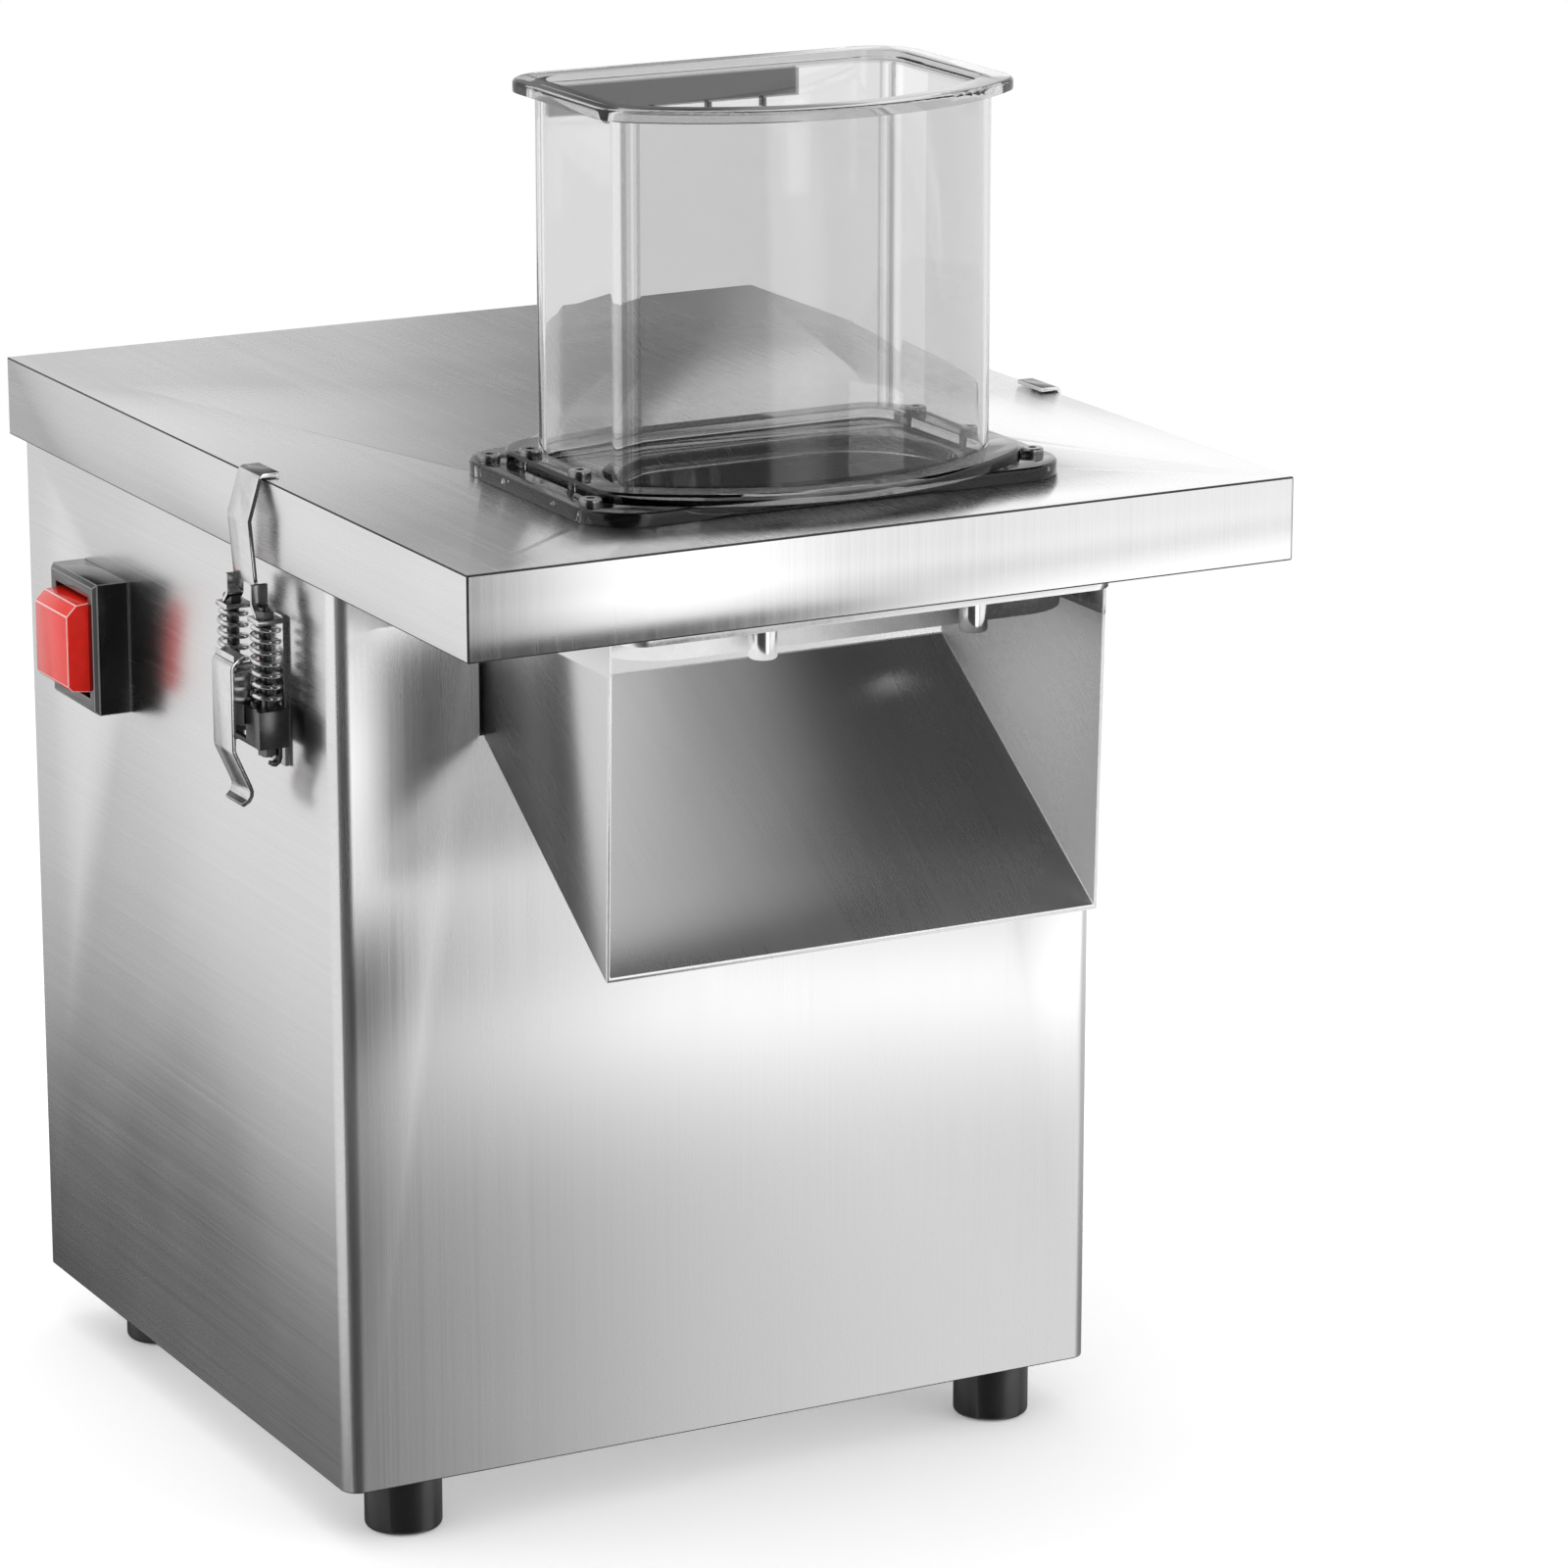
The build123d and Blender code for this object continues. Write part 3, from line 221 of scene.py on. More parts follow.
def objectPoint(tree):
    found = [node for node in tree.nodes if node.bl_idname == "ShaderNodeTexCoord"]
    return (found[0] if found else tree.nodes.new("ShaderNodeTexCoord")).outputs["Object"]


def stretchedNoise(tree, scale, turn=(0, 0, 0), detail=3.0):
    point = objectPoint(tree)
    if any(turn):
        turned = addNode(tree, "ShaderNodeMapping")
        turned.inputs["Rotation"].default_value = turn
        tree.links.new(point, turned.inputs["Vector"])
        point = turned.outputs["Vector"]
    mapping = addNode(tree, "ShaderNodeMapping")
    mapping.inputs["Scale"].default_value = scale
    tree.links.new(point, mapping.inputs["Vector"])
    noise = addNode(tree, "ShaderNodeTexNoise", Scale=1.0, Detail=detail, Roughness=0.6)
    tree.links.new(mapping.outputs["Vector"], noise.inputs["Vector"])
    return noise.outputs["Fac"]


def remap(tree, value, low, high, fromLow=0.3, fromHigh=0.7):
    node = addNode(tree, "ShaderNodeMapRange")
    node.inputs["From Min"].default_value = fromLow
    node.inputs["From Max"].default_value = fromHigh
    node.inputs["To Min"].default_value = low
    node.inputs["To Max"].default_value = high
    tree.links.new(value, node.inputs["Value"])
    return node.outputs["Result"]


def feed(tree, socket, value):
    if isinstance(value, (int, float)):
        socket.default_value = value
    else:
        tree.links.new(value, socket)


def mathNode(tree, operation, a, b=None, clamp=False):
    node = addNode(tree, "ShaderNodeMath", operation=operation, use_clamp=clamp)
    feed(tree, node.inputs[0], a)
    if b is not None:
        feed(tree, node.inputs[1], b)
    return node.outputs[0]


def mixValue(tree, factor, a, b):
    node = addNode(tree, "ShaderNodeMix", data_type="FLOAT")
    for socket, value in ((node.inputs[0], factor), (node.inputs[2], a), (node.inputs[3], b)):
        feed(tree, socket, value)
    return node.outputs[0]


def sideShare(tree, axis):    # 1 on faces that look along this axis, 0 elsewhere
    geometry = tree.nodes.new("ShaderNodeNewGeometry")
    split = tree.nodes.new("ShaderNodeSeparateXYZ")
    tree.links.new(geometry.outputs["True Normal"], split.inputs[0])
    return remap(tree, mathNode(tree, "ABSOLUTE", split.outputs[axis]), 0, 1, 0.6, 0.8)


def greyColour(tree, shader, value, tint=(1.0, 1.0, 1.0)):
    combine = tree.nodes.new("ShaderNodeCombineColor")
    for socket, share in zip(combine.inputs, tint):
        scaled = mathNode(tree, "MULTIPLY", value, share) if share != 1.0 else value
        tree.links.new(scaled, socket)
    tree.links.new(combine.outputs[0], shader.inputs["Base Color"])


# Steel sheet: fine grain up and down on faces that look along Y, and along Y on all the others

steel = {
    "tone": 0.82, "toneSpread": 0.035, "rough": 0.26, "roughSpread": 0.05,
    "fine": 1500.0, "fineLength": 8.0, "broad": 300.0, "broadLength": 2.5, "broadShare": 0.4,
    "cloud": 9.0, "cloudTone": (0.97, 1.03), "cloudRough": (-0.02, 0.03),
    "anisotropy": 0.7, "bump": 0.018, "bumpDepth": 0.0002,
}


def brushedSheet(name, slope=0.0, upright=True, tone=None, rough=None, contrast=1.0):
    material, tree, shader = newMaterial(name)
    tone = tone or steel["tone"]
    rough = rough or steel["rough"]
    turn = (math.radians(slope), 0, 0)
    fineY = stretchedNoise(tree, (steel["fine"], steel["fineLength"], steel["fine"]), turn)
    broadY = stretchedNoise(tree, (steel["broad"], steel["broadLength"], steel["broad"]), turn, 2.0)
    grain = mixValue(tree, steel["broadShare"], fineY, broadY)
    if upright:
        fineZ = stretchedNoise(tree, (steel["fine"], steel["fine"], steel["fineLength"]))
        broadZ = stretchedNoise(tree, (steel["broad"], steel["broad"], steel["broadLength"]), (0, 0, 0), 2.0)
        front = sideShare(tree, 1)
        grain = mixValue(tree, front, grain, mixValue(tree, steel["broadShare"], fineZ, broadZ))
    cloud = stretchedNoise(tree, (steel["cloud"],) * 3, (0, 0, 0), 2.0)
    spread = steel["toneSpread"] * contrast
    shade = remap(tree, grain, tone - spread, tone + spread)
    greyColour(tree, shader, mathNode(tree, "MULTIPLY", shade, remap(tree, cloud, *steel["cloudTone"])))
    spread = steel["roughSpread"] * contrast / 2
    roughness = remap(tree, grain, rough - spread, rough + spread)
    roughness = mathNode(tree, "ADD", roughness, remap(tree, cloud, *steel["cloudRough"]))
    tree.links.new(roughness, shader.inputs["Roughness"])
    shader.inputs["Metallic"].default_value = 1.0
    shader.inputs["Anisotropic"].default_value = steel["anisotropy"]
    across = tree.nodes.new("ShaderNodeCombineXYZ")
    sides = sideShare(tree, 0)
    tree.links.new(mathNode(tree, "SUBTRACT", 1.0, sides), across.inputs[0])
    tree.links.new(sides, across.inputs[2])
    tree.links.new(across.outputs[0], shader.inputs["Tangent"])
    bump = addNode(tree, "ShaderNodeBump", Strength=steel["bump"] * contrast, Distance=steel["bumpDepth"])
    tree.links.new(grain, bump.inputs["Height"])
    tree.links.new(bump.outputs["Normal"], shader.inputs["Normal"])
    return material


satin = {"cloud": 60.0, "cloudTone": (0.94, 1.05), "smoother": 0.06, "rougher": 0.08, "bumpDepth": 0.0001}


# A tone below 1 for the faces that look up or down darkens them: painted shade
def satinMetal(name, tone, rough, spread=0.06, tint=(1.0, 1.0, 1.0), scale=420.0, metallic=1.0,
               bumpStrength=0.08, upDownShade=1.0):
    material, tree, shader = newMaterial(name)
    speck = stretchedNoise(tree, (scale,) * 3, (0, 0, 0), 4.0)
    cloud = stretchedNoise(tree, (satin["cloud"],) * 3, (0, 0, 0), 2.0)
    value = remap(tree, speck, tone * (1 - spread), tone * (1 + spread))
    value = mathNode(tree, "MULTIPLY", value, remap(tree, cloud, *satin["cloudTone"]))
    if upDownShade != 1.0:
        value = mathNode(tree, "MULTIPLY", value, mixValue(tree, sideShare(tree, 2), 1.0, upDownShade))
    greyColour(tree, shader, value, tint)
    wear = mixValue(tree, 0.5, speck, cloud)
    roughness = remap(tree, wear, rough - satin["smoother"], rough + satin["rougher"])
    tree.links.new(roughness, shader.inputs["Roughness"])
    shader.inputs["Metallic"].default_value = metallic
    bump = addNode(tree, "ShaderNodeBump", Strength=bumpStrength, Distance=satin["bumpDepth"])
    tree.links.new(speck, bump.inputs["Height"])
    tree.links.new(bump.outputs["Normal"], shader.inputs["Normal"])
    return material


def mouldedPlastic(name, tone, rough, tint=(1.0, 1.0, 1.0), coat=0.0):
    material = satinMetal(name, tone, rough, 0.08, tint, 900.0, 0.0, 0.05)
    material.node_tree.nodes["Principled BSDF"].inputs["Coat Weight"].default_value = coat
    return material


def band(tree, value, middle, half, soft):    # 1 within half of middle, fading over soft
    away = mathNode(tree, "ABSOLUTE", mathNode(tree, "SUBTRACT", value, middle))
    return remap(tree, away, 1.0, 0.0, half, half + soft)


clear = {
    "ior": 1.49, "cloud": 40.0, "cloudTone": (0.985, 1.0), "roughMore": 0.01, "shadowPass": 0.4,
    "halfLength": 0.075, "frontFace": -0.09, "stripeFade": 0.0002, "markFade": 0.0003,
}


# across: the tint at the left and at the right end, in place of one tint
def clearPlastic(name, tint, rough, stripes=(), marks=(), across=None, specular=0.5):
    material, tree, shader = newMaterial(name)
    cloud = stretchedNoise(tree, (clear["cloud"],) * 3, (0, 0, 0), 2.0)
    shader.inputs["Transmission Weight"].default_value = 1.0
    shader.inputs["IOR"].default_value = clear["ior"]
    shader.inputs["Specular IOR Level"].default_value = specular
    split = tree.nodes.new("ShaderNodeSeparateXYZ")
    tree.links.new(objectPoint(tree), split.inputs[0])
    level = tint
    if across:
        level = remap(tree, split.outputs[0], *across, -clear["halfLength"], clear["halfLength"])
    value = mathNode(tree, "MULTIPLY", remap(tree, cloud, *clear["cloudTone"]), level)
    span = mathNode(tree, "ABSOLUTE", split.outputs[0])
    frontRight = mathNode(tree, "MULTIPLY", mathNode(tree, "GREATER_THAN", split.outputs[0], 0.0),
                          mathNode(tree, "LESS_THAN", split.outputs[1], clear["frontFace"]))
    plain = mathNode(tree, "SUBTRACT", 1.0, frontRight)
    # The stripes are painted reflections: bright and dark upright lines at the corners, left off the front
    # right
    for middle, half, tone in stripes:    # upright lines where the walls turn the corner
        line = mathNode(tree, "MULTIPLY", band(tree, span, middle, half, clear["stripeFade"]), plain)
        value = mixValue(tree, line, value, tone)
    for low, high, tone in marks:    # darker boxes: rims, the band under the back rim, a painted reflection of the rim, and dark ticks hanging from the band
        inside = 1.0
        for axis in range(3):
            middle, half = (low[axis] + high[axis]) / 2, (high[axis] - low[axis]) / 2
            share = band(tree, split.outputs[axis], middle, half, clear["markFade"])
            inside = mathNode(tree, "MULTIPLY", share, inside)
        value = mixValue(tree, inside, value, tone)
    greyColour(tree, shader, value)
    tree.links.new(remap(tree, cloud, rough, rough + clear["roughMore"]), shader.inputs["Roughness"])
    passed = clear["shadowPass"] + (1 - clear["shadowPass"]) * tint    # plain shadows, with no bright focus
    passThrough = addNode(tree, "ShaderNodeBsdfTransparent", Color=(passed,) * 3 + (1.0,))
    light = tree.nodes.new("ShaderNodeLightPath")
    mix = tree.nodes.new("ShaderNodeMixShader")
    output = tree.nodes["Material Output"]
    tree.links.new(light.outputs["Is Shadow Ray"], mix.inputs[0])
    tree.links.new(shader.outputs[0], mix.inputs[1])
    tree.links.new(passThrough.outputs[0], mix.inputs[2])
    tree.links.new(mix.outputs[0], output.inputs["Surface"])
    return material


wallSteel = brushedSheet("wallSteel")
lidSteel = brushedSheet("lidSteel")
chuteSteel = brushedSheet("chuteSteel", slope=-34.0, upright=False, tone=0.7, contrast=0.5)
# The inner sheet is a darker copy of the satin steel: painted shade inside the machine
innerSteel = satinMetal("innerSteel", 0.42, 0.36)
brightSteel = satinMetal("brightSteel", 0.82, 0.14, 0.04)
# The latch steel darkens its faces that look up or down: painted shade
latchSteel = satinMetal("latchSteel", 0.78, 0.17, 0.05, upDownShade=0.12)
springSteel = satinMetal("springSteel", 0.7, 0.14, 0.05)
yokeSteel = satinMetal("yokeSteel", 0.17, 0.3, 0.08)
knifeSteel = satinMetal("knifeSteel", 0.8, 0.18, 0.05)
zincSteel = satinMetal("zincSteel", 0.68, 0.3)
aluminium = satinMetal("aluminium", 0.8, 0.24, 0.04)
castGrey = satinMetal("castGrey", 0.2, 0.6, 0.15, (0.95, 1.0, 1.05), 700.0, 0.3, 0.5)
motorGrey = satinMetal("motorGrey", 0.34, 0.5, 0.1, (0.95, 1.0, 1.04), 600.0, 0.4, 0.4)
darkPaint = satinMetal("darkPaint", 0.04, 0.42, 0.1, (0.95, 1.0, 1.1), 900.0, 0.0, 0.2)
blackRubber = mouldedPlastic("blackRubber", 0.012, 0.34, coat=0.25)
greyRubber = mouldedPlastic("greyRubber", 0.4, 0.6)
blackPlastic = mouldedPlastic("blackPlastic", 0.006, 0.14, coat=0.5)
palePlastic = mouldedPlastic("palePlastic", 0.75, 0.35, (1.0, 1.0, 0.95))

# Stripes: distance from the middle, half width, brightness. Marks: low corner, high corner, brightness
hopperLook = {
    "tint": 0.77,
    # Stripes: painted reflections at the hopper corners
    "stripes": [(0.0634, 0.0004, 1.0), (0.0625, 0.0003, 0.3), (0.0612, 0.0005, 1.0), (0.0595, 0.0003, 0.45)],
    "rim": ((-0.08, -0.17, 0.4588), (0.08, -0.05, 0.464), 0.55),
    "foot": ((-0.08, -0.17, 0.344), (0.08, -0.05, 0.349), 0.5),
    "footFront": ((-0.08, -0.17, 0.3445), (0.08, -0.15, 0.3495), 0.15),
    # The band under the back rim is a painted reflection of the rim
    "backBand": ((-0.056, -0.0645, 0.4505), (0.03, -0.0595, 0.4588), 0.12),
    # Dark ticks hanging from that band: their x places, half width, height span and brightness
    "pegs": (-0.034, -0.02, -0.001, 0.018), "pegHalf": 0.0007, "pegZ": (0.4475, 0.4505), "pegTone": 0.02,
}
hopperMarks = [hopperLook[part] for part in ("rim", "foot", "footFront", "backBand")]
bandFront, bandBack = hopperLook["backBand"][0][1], hopperLook["backBand"][1][1]
for tick in hopperLook["pegs"]:
    hopperMarks.append(((tick - hopperLook["pegHalf"], bandFront, hopperLook["pegZ"][0]),
                        (tick + hopperLook["pegHalf"], bandBack, hopperLook["pegZ"][1]), hopperLook["pegTone"]))
smokyClear = clearPlastic("smokyClear", hopperLook["tint"], 0.0, hopperLook["stripes"], hopperMarks)
# The plate's tint runs from light at its left end to dark at its right: painted light and shade
plateLook = {"tint": 0.42, "rough": 0.002, "across": (0.97, 0.4), "specular": 0.1,
             "frontMark": ((-0.09, -0.16, 0.34), (0.09, -0.134, 0.346), 0.06)}
smokyDark = clearPlastic("smokyDark", plateLook["tint"], plateLook["rough"], marks=[plateLook["frontMark"]],
                         across=plateLook["across"], specular=plateLook["specular"])
# Edge strips: painted dark reflection lines on the clear hopper and plate and on the lid and housing bends;
# painted highlights on the switch, rocker and chute edges
smokyEdge = clearPlastic("smokyEdge", 0.04, 0.0, specular=0.2)
paleEdge = mouldedPlastic("paleEdge", 0.16, 0.2, coat=0.4)
darkEdge = satinMetal("darkEdge", 0.03, 0.4, metallic=0.5)
brightEdge = satinMetal("brightEdge", 0.9, 0.4, metallic=0.35)
redEdge = mouldedPlastic("redEdge", 0.85, 0.15, (1.0, 0.62, 0.6), coat=0.5)
lens = {"cloud": 300.0, "red": (0.74, 0.84), "green": 0.022, "blue": 0.012, "rough": (0.1, 0.16), "coat": 0.25,
        "depth": (0.006, 0.001, 0.001), "depthShare": 0.35}


def redLens(name):
    material, tree, shader = newMaterial(name)
    cloud = stretchedNoise(tree, (lens["cloud"],) * 3, (0, 0, 0), 2.0)
    combine = tree.nodes.new("ShaderNodeCombineColor")
    tree.links.new(remap(tree, cloud, *lens["red"]), combine.inputs[0])
    combine.inputs[1].default_value = lens["green"]
    combine.inputs[2].default_value = lens["blue"]
    tree.links.new(combine.outputs[0], shader.inputs["Base Color"])
    tree.links.new(remap(tree, cloud, *lens["rough"]), shader.inputs["Roughness"])
    shader.inputs["Subsurface Weight"].default_value = lens["depthShare"]
    shader.inputs["Subsurface Radius"].default_value = lens["depth"]
    shader.inputs["Coat Weight"].default_value = lens["coat"]
    return material


redPlastic = redLens("redPlastic")
print("materials ready")

slotLooks = {
    "brushed_sheet": wallSteel, "lid_sheet": lidSteel, "chute_sheet": chuteSteel, "inner_sheet": innerSteel,
    "bright_steel": brightSteel, "knife_steel": knifeSteel, "bearing_steel": brightSteel,
    "latch_steel": latchSteel, "zinc_fastener": zincSteel, "machined_aluminium": aluminium,
    "cast_housing": castGrey, "motor_casting": motorGrey, "painted_steel": darkPaint,
    "black_rubber": blackRubber, "grey_rubber": greyRubber, "black_plastic": blackPlastic,
    "pale_plastic": palePlastic, "red_plastic": redPlastic, "smoky_clear": smokyClear, "smoky_dark": smokyDark,
}
slotOfNode = {row["node"]: row["material_slot"] for row in frame["record"]["subparts"]}
bodyOfNode = {}
for bodyName, nodeNames in frame["record"]["behaviour"]["bodies"].items():
    for nodeName in nodeNames:
        bodyOfNode[nodeName] = bodyName
nodeLooks = {}
for side in ("left", "right"):
    nodeLooks["latch_yoke_" + side] = yokeSteel
    # The rods take the dark yoke steel: painted shade inside the springs
    nodeLooks["latch_rods_" + side] = yokeSteel
    nodeLooks["latch_springs_" + side] = springSteel
# The grid frame's faces that look up or down are darkened almost to black: painted shade under the lid
nodeLooks["grid_frame"] = satinMetal("gridSteel", 0.8, 0.26, 0.03, bumpStrength=0.02, upDownShade=0.06)
nodeLooks["hopper_screws"] = satinMetal("screwSteel", 0.3, 0.25)
# Pieces whose rounded edges are painted: highlights on the switch, rocker and chute, dark reflection lines on
# the rest
edgeReflectionLooks = {"hopper": smokyEdge, "hopper_plate": smokyEdge, "rocker": redEdge, "switch_housing": paleEdge,
             "lid_tray": darkEdge, "housing_shell": darkEdge, "discharge_chute": brightEdge}


def lookOf(nodeName):
    return nodeLooks.get(nodeName, slotLooks[slotOfNode[nodeName]])


for nodeName, nodeObject in frame["nodes"].items():
    setMaterial(nodeObject, lookOf(nodeName))
print("frame nodes painted")


# Sheet metal and machined pieces: the frame's shape with worked edges

dressing = {
    "housing_shell": {"width": 0.5, "segments": 2, "clamp": False},
    "discharge_chute": {"width": 0.35, "segments": 2},
    "lid_tray": {"width": 0.55, "segments": 2, "clamp": False},
    "deck_pan": {"width": 0.25, "segments": 1},
    "rear_cover": {"width": 0.2, "segments": 1},
    "grid_frame": {"width": 0.6, "segments": 2},
    "grid_bolts": {"width": 0.3, "segments": 2},
    "rubber_feet": {"width": 0.5, "segments": 2},
    "switch_housing": {"width": 0.3, "segments": 2},
    "rocker": {"width": 0.3, "segments": 2},
    "hopper": {"width": 0.45, "segments": 2},
    "hopper_plate": {"width": 0.5, "segments": 2},
    "latch_base_left": {"width": 0.2, "segments": 2},
    "latch_base_right": {"width": 0.2, "segments": 2},
    "latch_yoke_left": {"width": 0.5, "segments": 2},
    "latch_yoke_right": {"width": 0.5, "segments": 2},
}


def camelName(node):
    first, *rest = node.split("_")
    return first + "".join(word.capitalize() for word in rest)


for node, values in dressing.items():
    piece = copyOfNode(node, camelName(node))
    bevelled(piece, values["width"], values["segments"], edgeReflectionLook=edgeReflectionLooks.get(node),
             clamp=values.get("clamp", True))
    finishPiece(piece, camelName(node), bodyOfNode[node], lookOf(node), [node])
print("edges worked on", len(dressing), "pieces")


# Draw latch: hook with a claw over the lid and two legs down to the springs, drawn on the left and mirrored.
# In mm; the points of a path are distance out from the wall and height

latch = {
    "wall": -135.0, "y": -27.45, "sheet": 1.4, "bevel": 0.22,
    "hook": [(0.0, 341.75), (5.3, 341.75), (6.2, 341.4), (6.6, 340.6), (10.4, 327.9), (10.3, 326.6),
             (9.0, 311.0), (8.7, 307.6)],
    "hookHalf": 7.9, "hookWidths": [1, 1, 1, 1, 1, 1, 1.2],
    "leg": [(0, 308.4), (0, 302.6), (0.4, 301.8), (2.9, 299.3), (3.3, 298.5), (3.3, 297.1)],
    "legWidth": 5.6, "legOut": 8.5, "legAside": 9.3,
    "footTop": 298.6, "footHalf": 16.4, "footOut": 12.0,
    "lever": [(12.6, 285.6), (16.2, 283.3), (16.8, 282.6), (17.0, 281.6), (17.0, 256.0), (16.7, 254.8),
              (11.8, 243.8), (11.3, 242.2), (11.4, 240.8), (12.3, 239.2), (14.2, 237.8)],
    "leverHalf": 7.3, "leverWidths": [1, 1, 1, 1, 1, 1, 1, 0.97, 0.9, 0.75],
    "cheekOut": 16.4, "cheekBottom": 257.5,
    "catch": [(5.2, 259.5), (5.2, 254.6), (5.6, 253.2), (6.8, 252.4), (8.2, 252.8)],
    "catchHalf": 1.5, "catchY": -42.0,
}


def outFrom(points):
    return [(latch["wall"] - out, z) for out, z in points]


# Cuts a box off a latch piece; the spans, in mm, reach past the piece unless they are given
def cutAway(piece, x=(-160, -120), y=(-60, 0), z=(200, 350)):
    low, high = zip(x, y, z)
    cutBox(piece, [value * mm for value in low], [value * mm for value in high])


def latchHook():
    strip = foldedStrip(outFrom(latch["hook"]), latch["hookHalf"], latch["sheet"], latch["y"], latch["bevel"],
                        latch["hookWidths"])
    feet = copyOfNode("latch_hook_left", "feet")
    cutAway(feet, z=(latch["footTop"], 350))
    cutAway(feet, x=(-160, latch["wall"] - latch["footOut"]))
    cutAway(feet, y=(-60, latch["y"] - latch["footHalf"]))
    cutAway(feet, y=(latch["y"] + latch["footHalf"], 0))
    bevelled(feet, latch["bevel"])
    legs = []
    for side in (-1, 1):
        leg = foldedStrip(latch["leg"], latch["legWidth"] / 2, latch["sheet"], 0, latch["bevel"])
        leg.rotation_euler = (0, 0, side * math.pi / 2)
        leg.location = ((latch["wall"] - latch["legOut"]) * mm, (latch["y"] + side * latch["legAside"]) * mm, 0)
        bpy.ops.object.transform_apply(location=True, rotation=True, scale=True)
        legs.append(leg)
    return joined([strip, feet] + legs)


def latchLever():
    strip = foldedStrip(outFrom(latch["lever"]), latch["leverHalf"], latch["sheet"], latch["y"], latch["bevel"],
                        latch["leverWidths"])
    cheeks = copyOfNode("latch_lever_left", "cheeks")
    cutAway(cheeks, x=(-160, latch["wall"] - latch["cheekOut"]))
    cutAway(cheeks, z=(200, latch["cheekBottom"]))
    bevelled(cheeks, latch["bevel"])
    return joined([strip, cheeks])


# A small catch under the yoke
def latchCatch():
    return foldedStrip(outFrom(latch["catch"]), latch["catchHalf"], latch["sheet"], latch["catchY"],
                       latch["bevel"])


for node, maker in (("latch_hook", latchHook), ("latch_lever", latchLever)):
    leftPiece = maker()
    rightPiece = mirroredX(leftPiece)
    for piece, side in ((leftPiece, "left"), (rightPiece, "right")):
        nodeName = node + "_" + side
        finishPiece(piece, camelName(nodeName), bodyOfNode[nodeName], latchSteel,
                    [nodeName])
leftPiece = latchCatch()
rightPiece = mirroredX(leftPiece)
for piece, side in ((leftPiece, "left"), (rightPiece, "right")):
    finishPiece(piece, "latchCatch" + side.capitalize(), bodyOfNode["latch_yoke_" + side], yokeSteel)
print("latches bent")


# Camera: fitted to the photograph's box corners

camera = {"place": (-0.8972, -1.79385, 0.7631), "tilt": 74.783, "turn": -28.054, "lens": 146.5, "sensor": 36.0}
cameraData = bpy.data.cameras.new("camera")
cameraObject = bpy.data.objects.new("camera", cameraData)
bpy.context.scene.collection.objects.link(cameraObject)
cameraObject.location = camera["place"]
cameraObject.rotation_euler = (math.radians(camera["tilt"]), 0, math.radians(camera["turn"]))
cameraData.lens = camera["lens"]
cameraData.sensor_width = camera["sensor"]
bpy.context.scene.camera = cameraObject

# Room: pale floor that fades into a white surround, soft lamps, and cards that only reflections see

room = {"floorSize": 8.0, "floorDrop": 0.0003, "floorTone": 0.9, "floorRough": 0.9,
        "fadeStart": 0.5, "fadeEnd": 1.3, "floorLift": 0.24, "fillStrength": 0.85}


def makeFloor():
    deselectAll()
    bpy.ops.mesh.primitive_plane_add(size=room["floorSize"], location=(0, 0, -room["floorDrop"]))
    floor = bpy.context.object
    floor.name = "floor"
    material, tree, shader = newMaterial("floorPaper")
    shader.inputs["Roughness"].default_value = room["floorRough"]
    shader.inputs["Specular IOR Level"].default_value = 0.0
    shader.inputs["Base Color"].default_value = (room["floorTone"],) * 3 + (1.0,)
    length = addNode(tree, "ShaderNodeVectorMath", operation="LENGTH")
    tree.links.new(objectPoint(tree), length.inputs[0])
    away = remap(tree, length.outputs["Value"], 0.0, 1.0, room["fadeStart"], room["fadeEnd"])
    clear = addNode(tree, "ShaderNodeBsdfTransparent")
    light = tree.nodes.new("ShaderNodeLightPath")
    shader.inputs["Emission Color"].default_value = (1.0, 1.0, 1.0, 1.0)
    seen = mathNode(tree, "ADD", light.outputs["Is Camera Ray"], light.outputs["Is Transmission Ray"], True)
    tree.links.new(mathNode(tree, "MULTIPLY", seen, room["floorLift"]), shader.inputs["Emission Strength"])
    mix = tree.nodes.new("ShaderNodeMixShader")
    tree.links.new(away, mix.inputs[0])
    tree.links.new(shader.outputs[0], mix.inputs[1])
    tree.links.new(clear.outputs[0], mix.inputs[2])
    tree.links.new(mix.outputs[0], tree.nodes["Material Output"].inputs["Surface"])
    setMaterial(floor, material)
    floor.visible_glossy = False


def makeWorld():
    world = bpy.data.worlds.new("surround")
    bpy.context.scene.world = world
    world.use_nodes = True
    tree = world.node_tree
    background = tree.nodes["Background"]
    background.inputs["Color"].default_value = (1.0, 1.0, 1.0, 1.0)
    background.inputs["Strength"].default_value = room["fillStrength"]
    white = addNode(tree, "ShaderNodeBackground", Color=(1.0, 1.0, 1.0, 1.0), Strength=1.0)
    light = tree.nodes.new("ShaderNodeLightPath")
    seen = mathNode(tree, "ADD", light.outputs["Is Camera Ray"], light.outputs["Is Glossy Ray"])
    seen = mathNode(tree, "ADD", seen, light.outputs["Is Transmission Ray"], True)
    mix = tree.nodes.new("ShaderNodeMixShader")
    tree.links.new(seen, mix.inputs[0])
    tree.links.new(background.outputs[0], mix.inputs[1])
    tree.links.new(white.outputs[0], mix.inputs[2])
    tree.links.new(mix.outputs[0], tree.nodes["World Output"].inputs["Surface"])


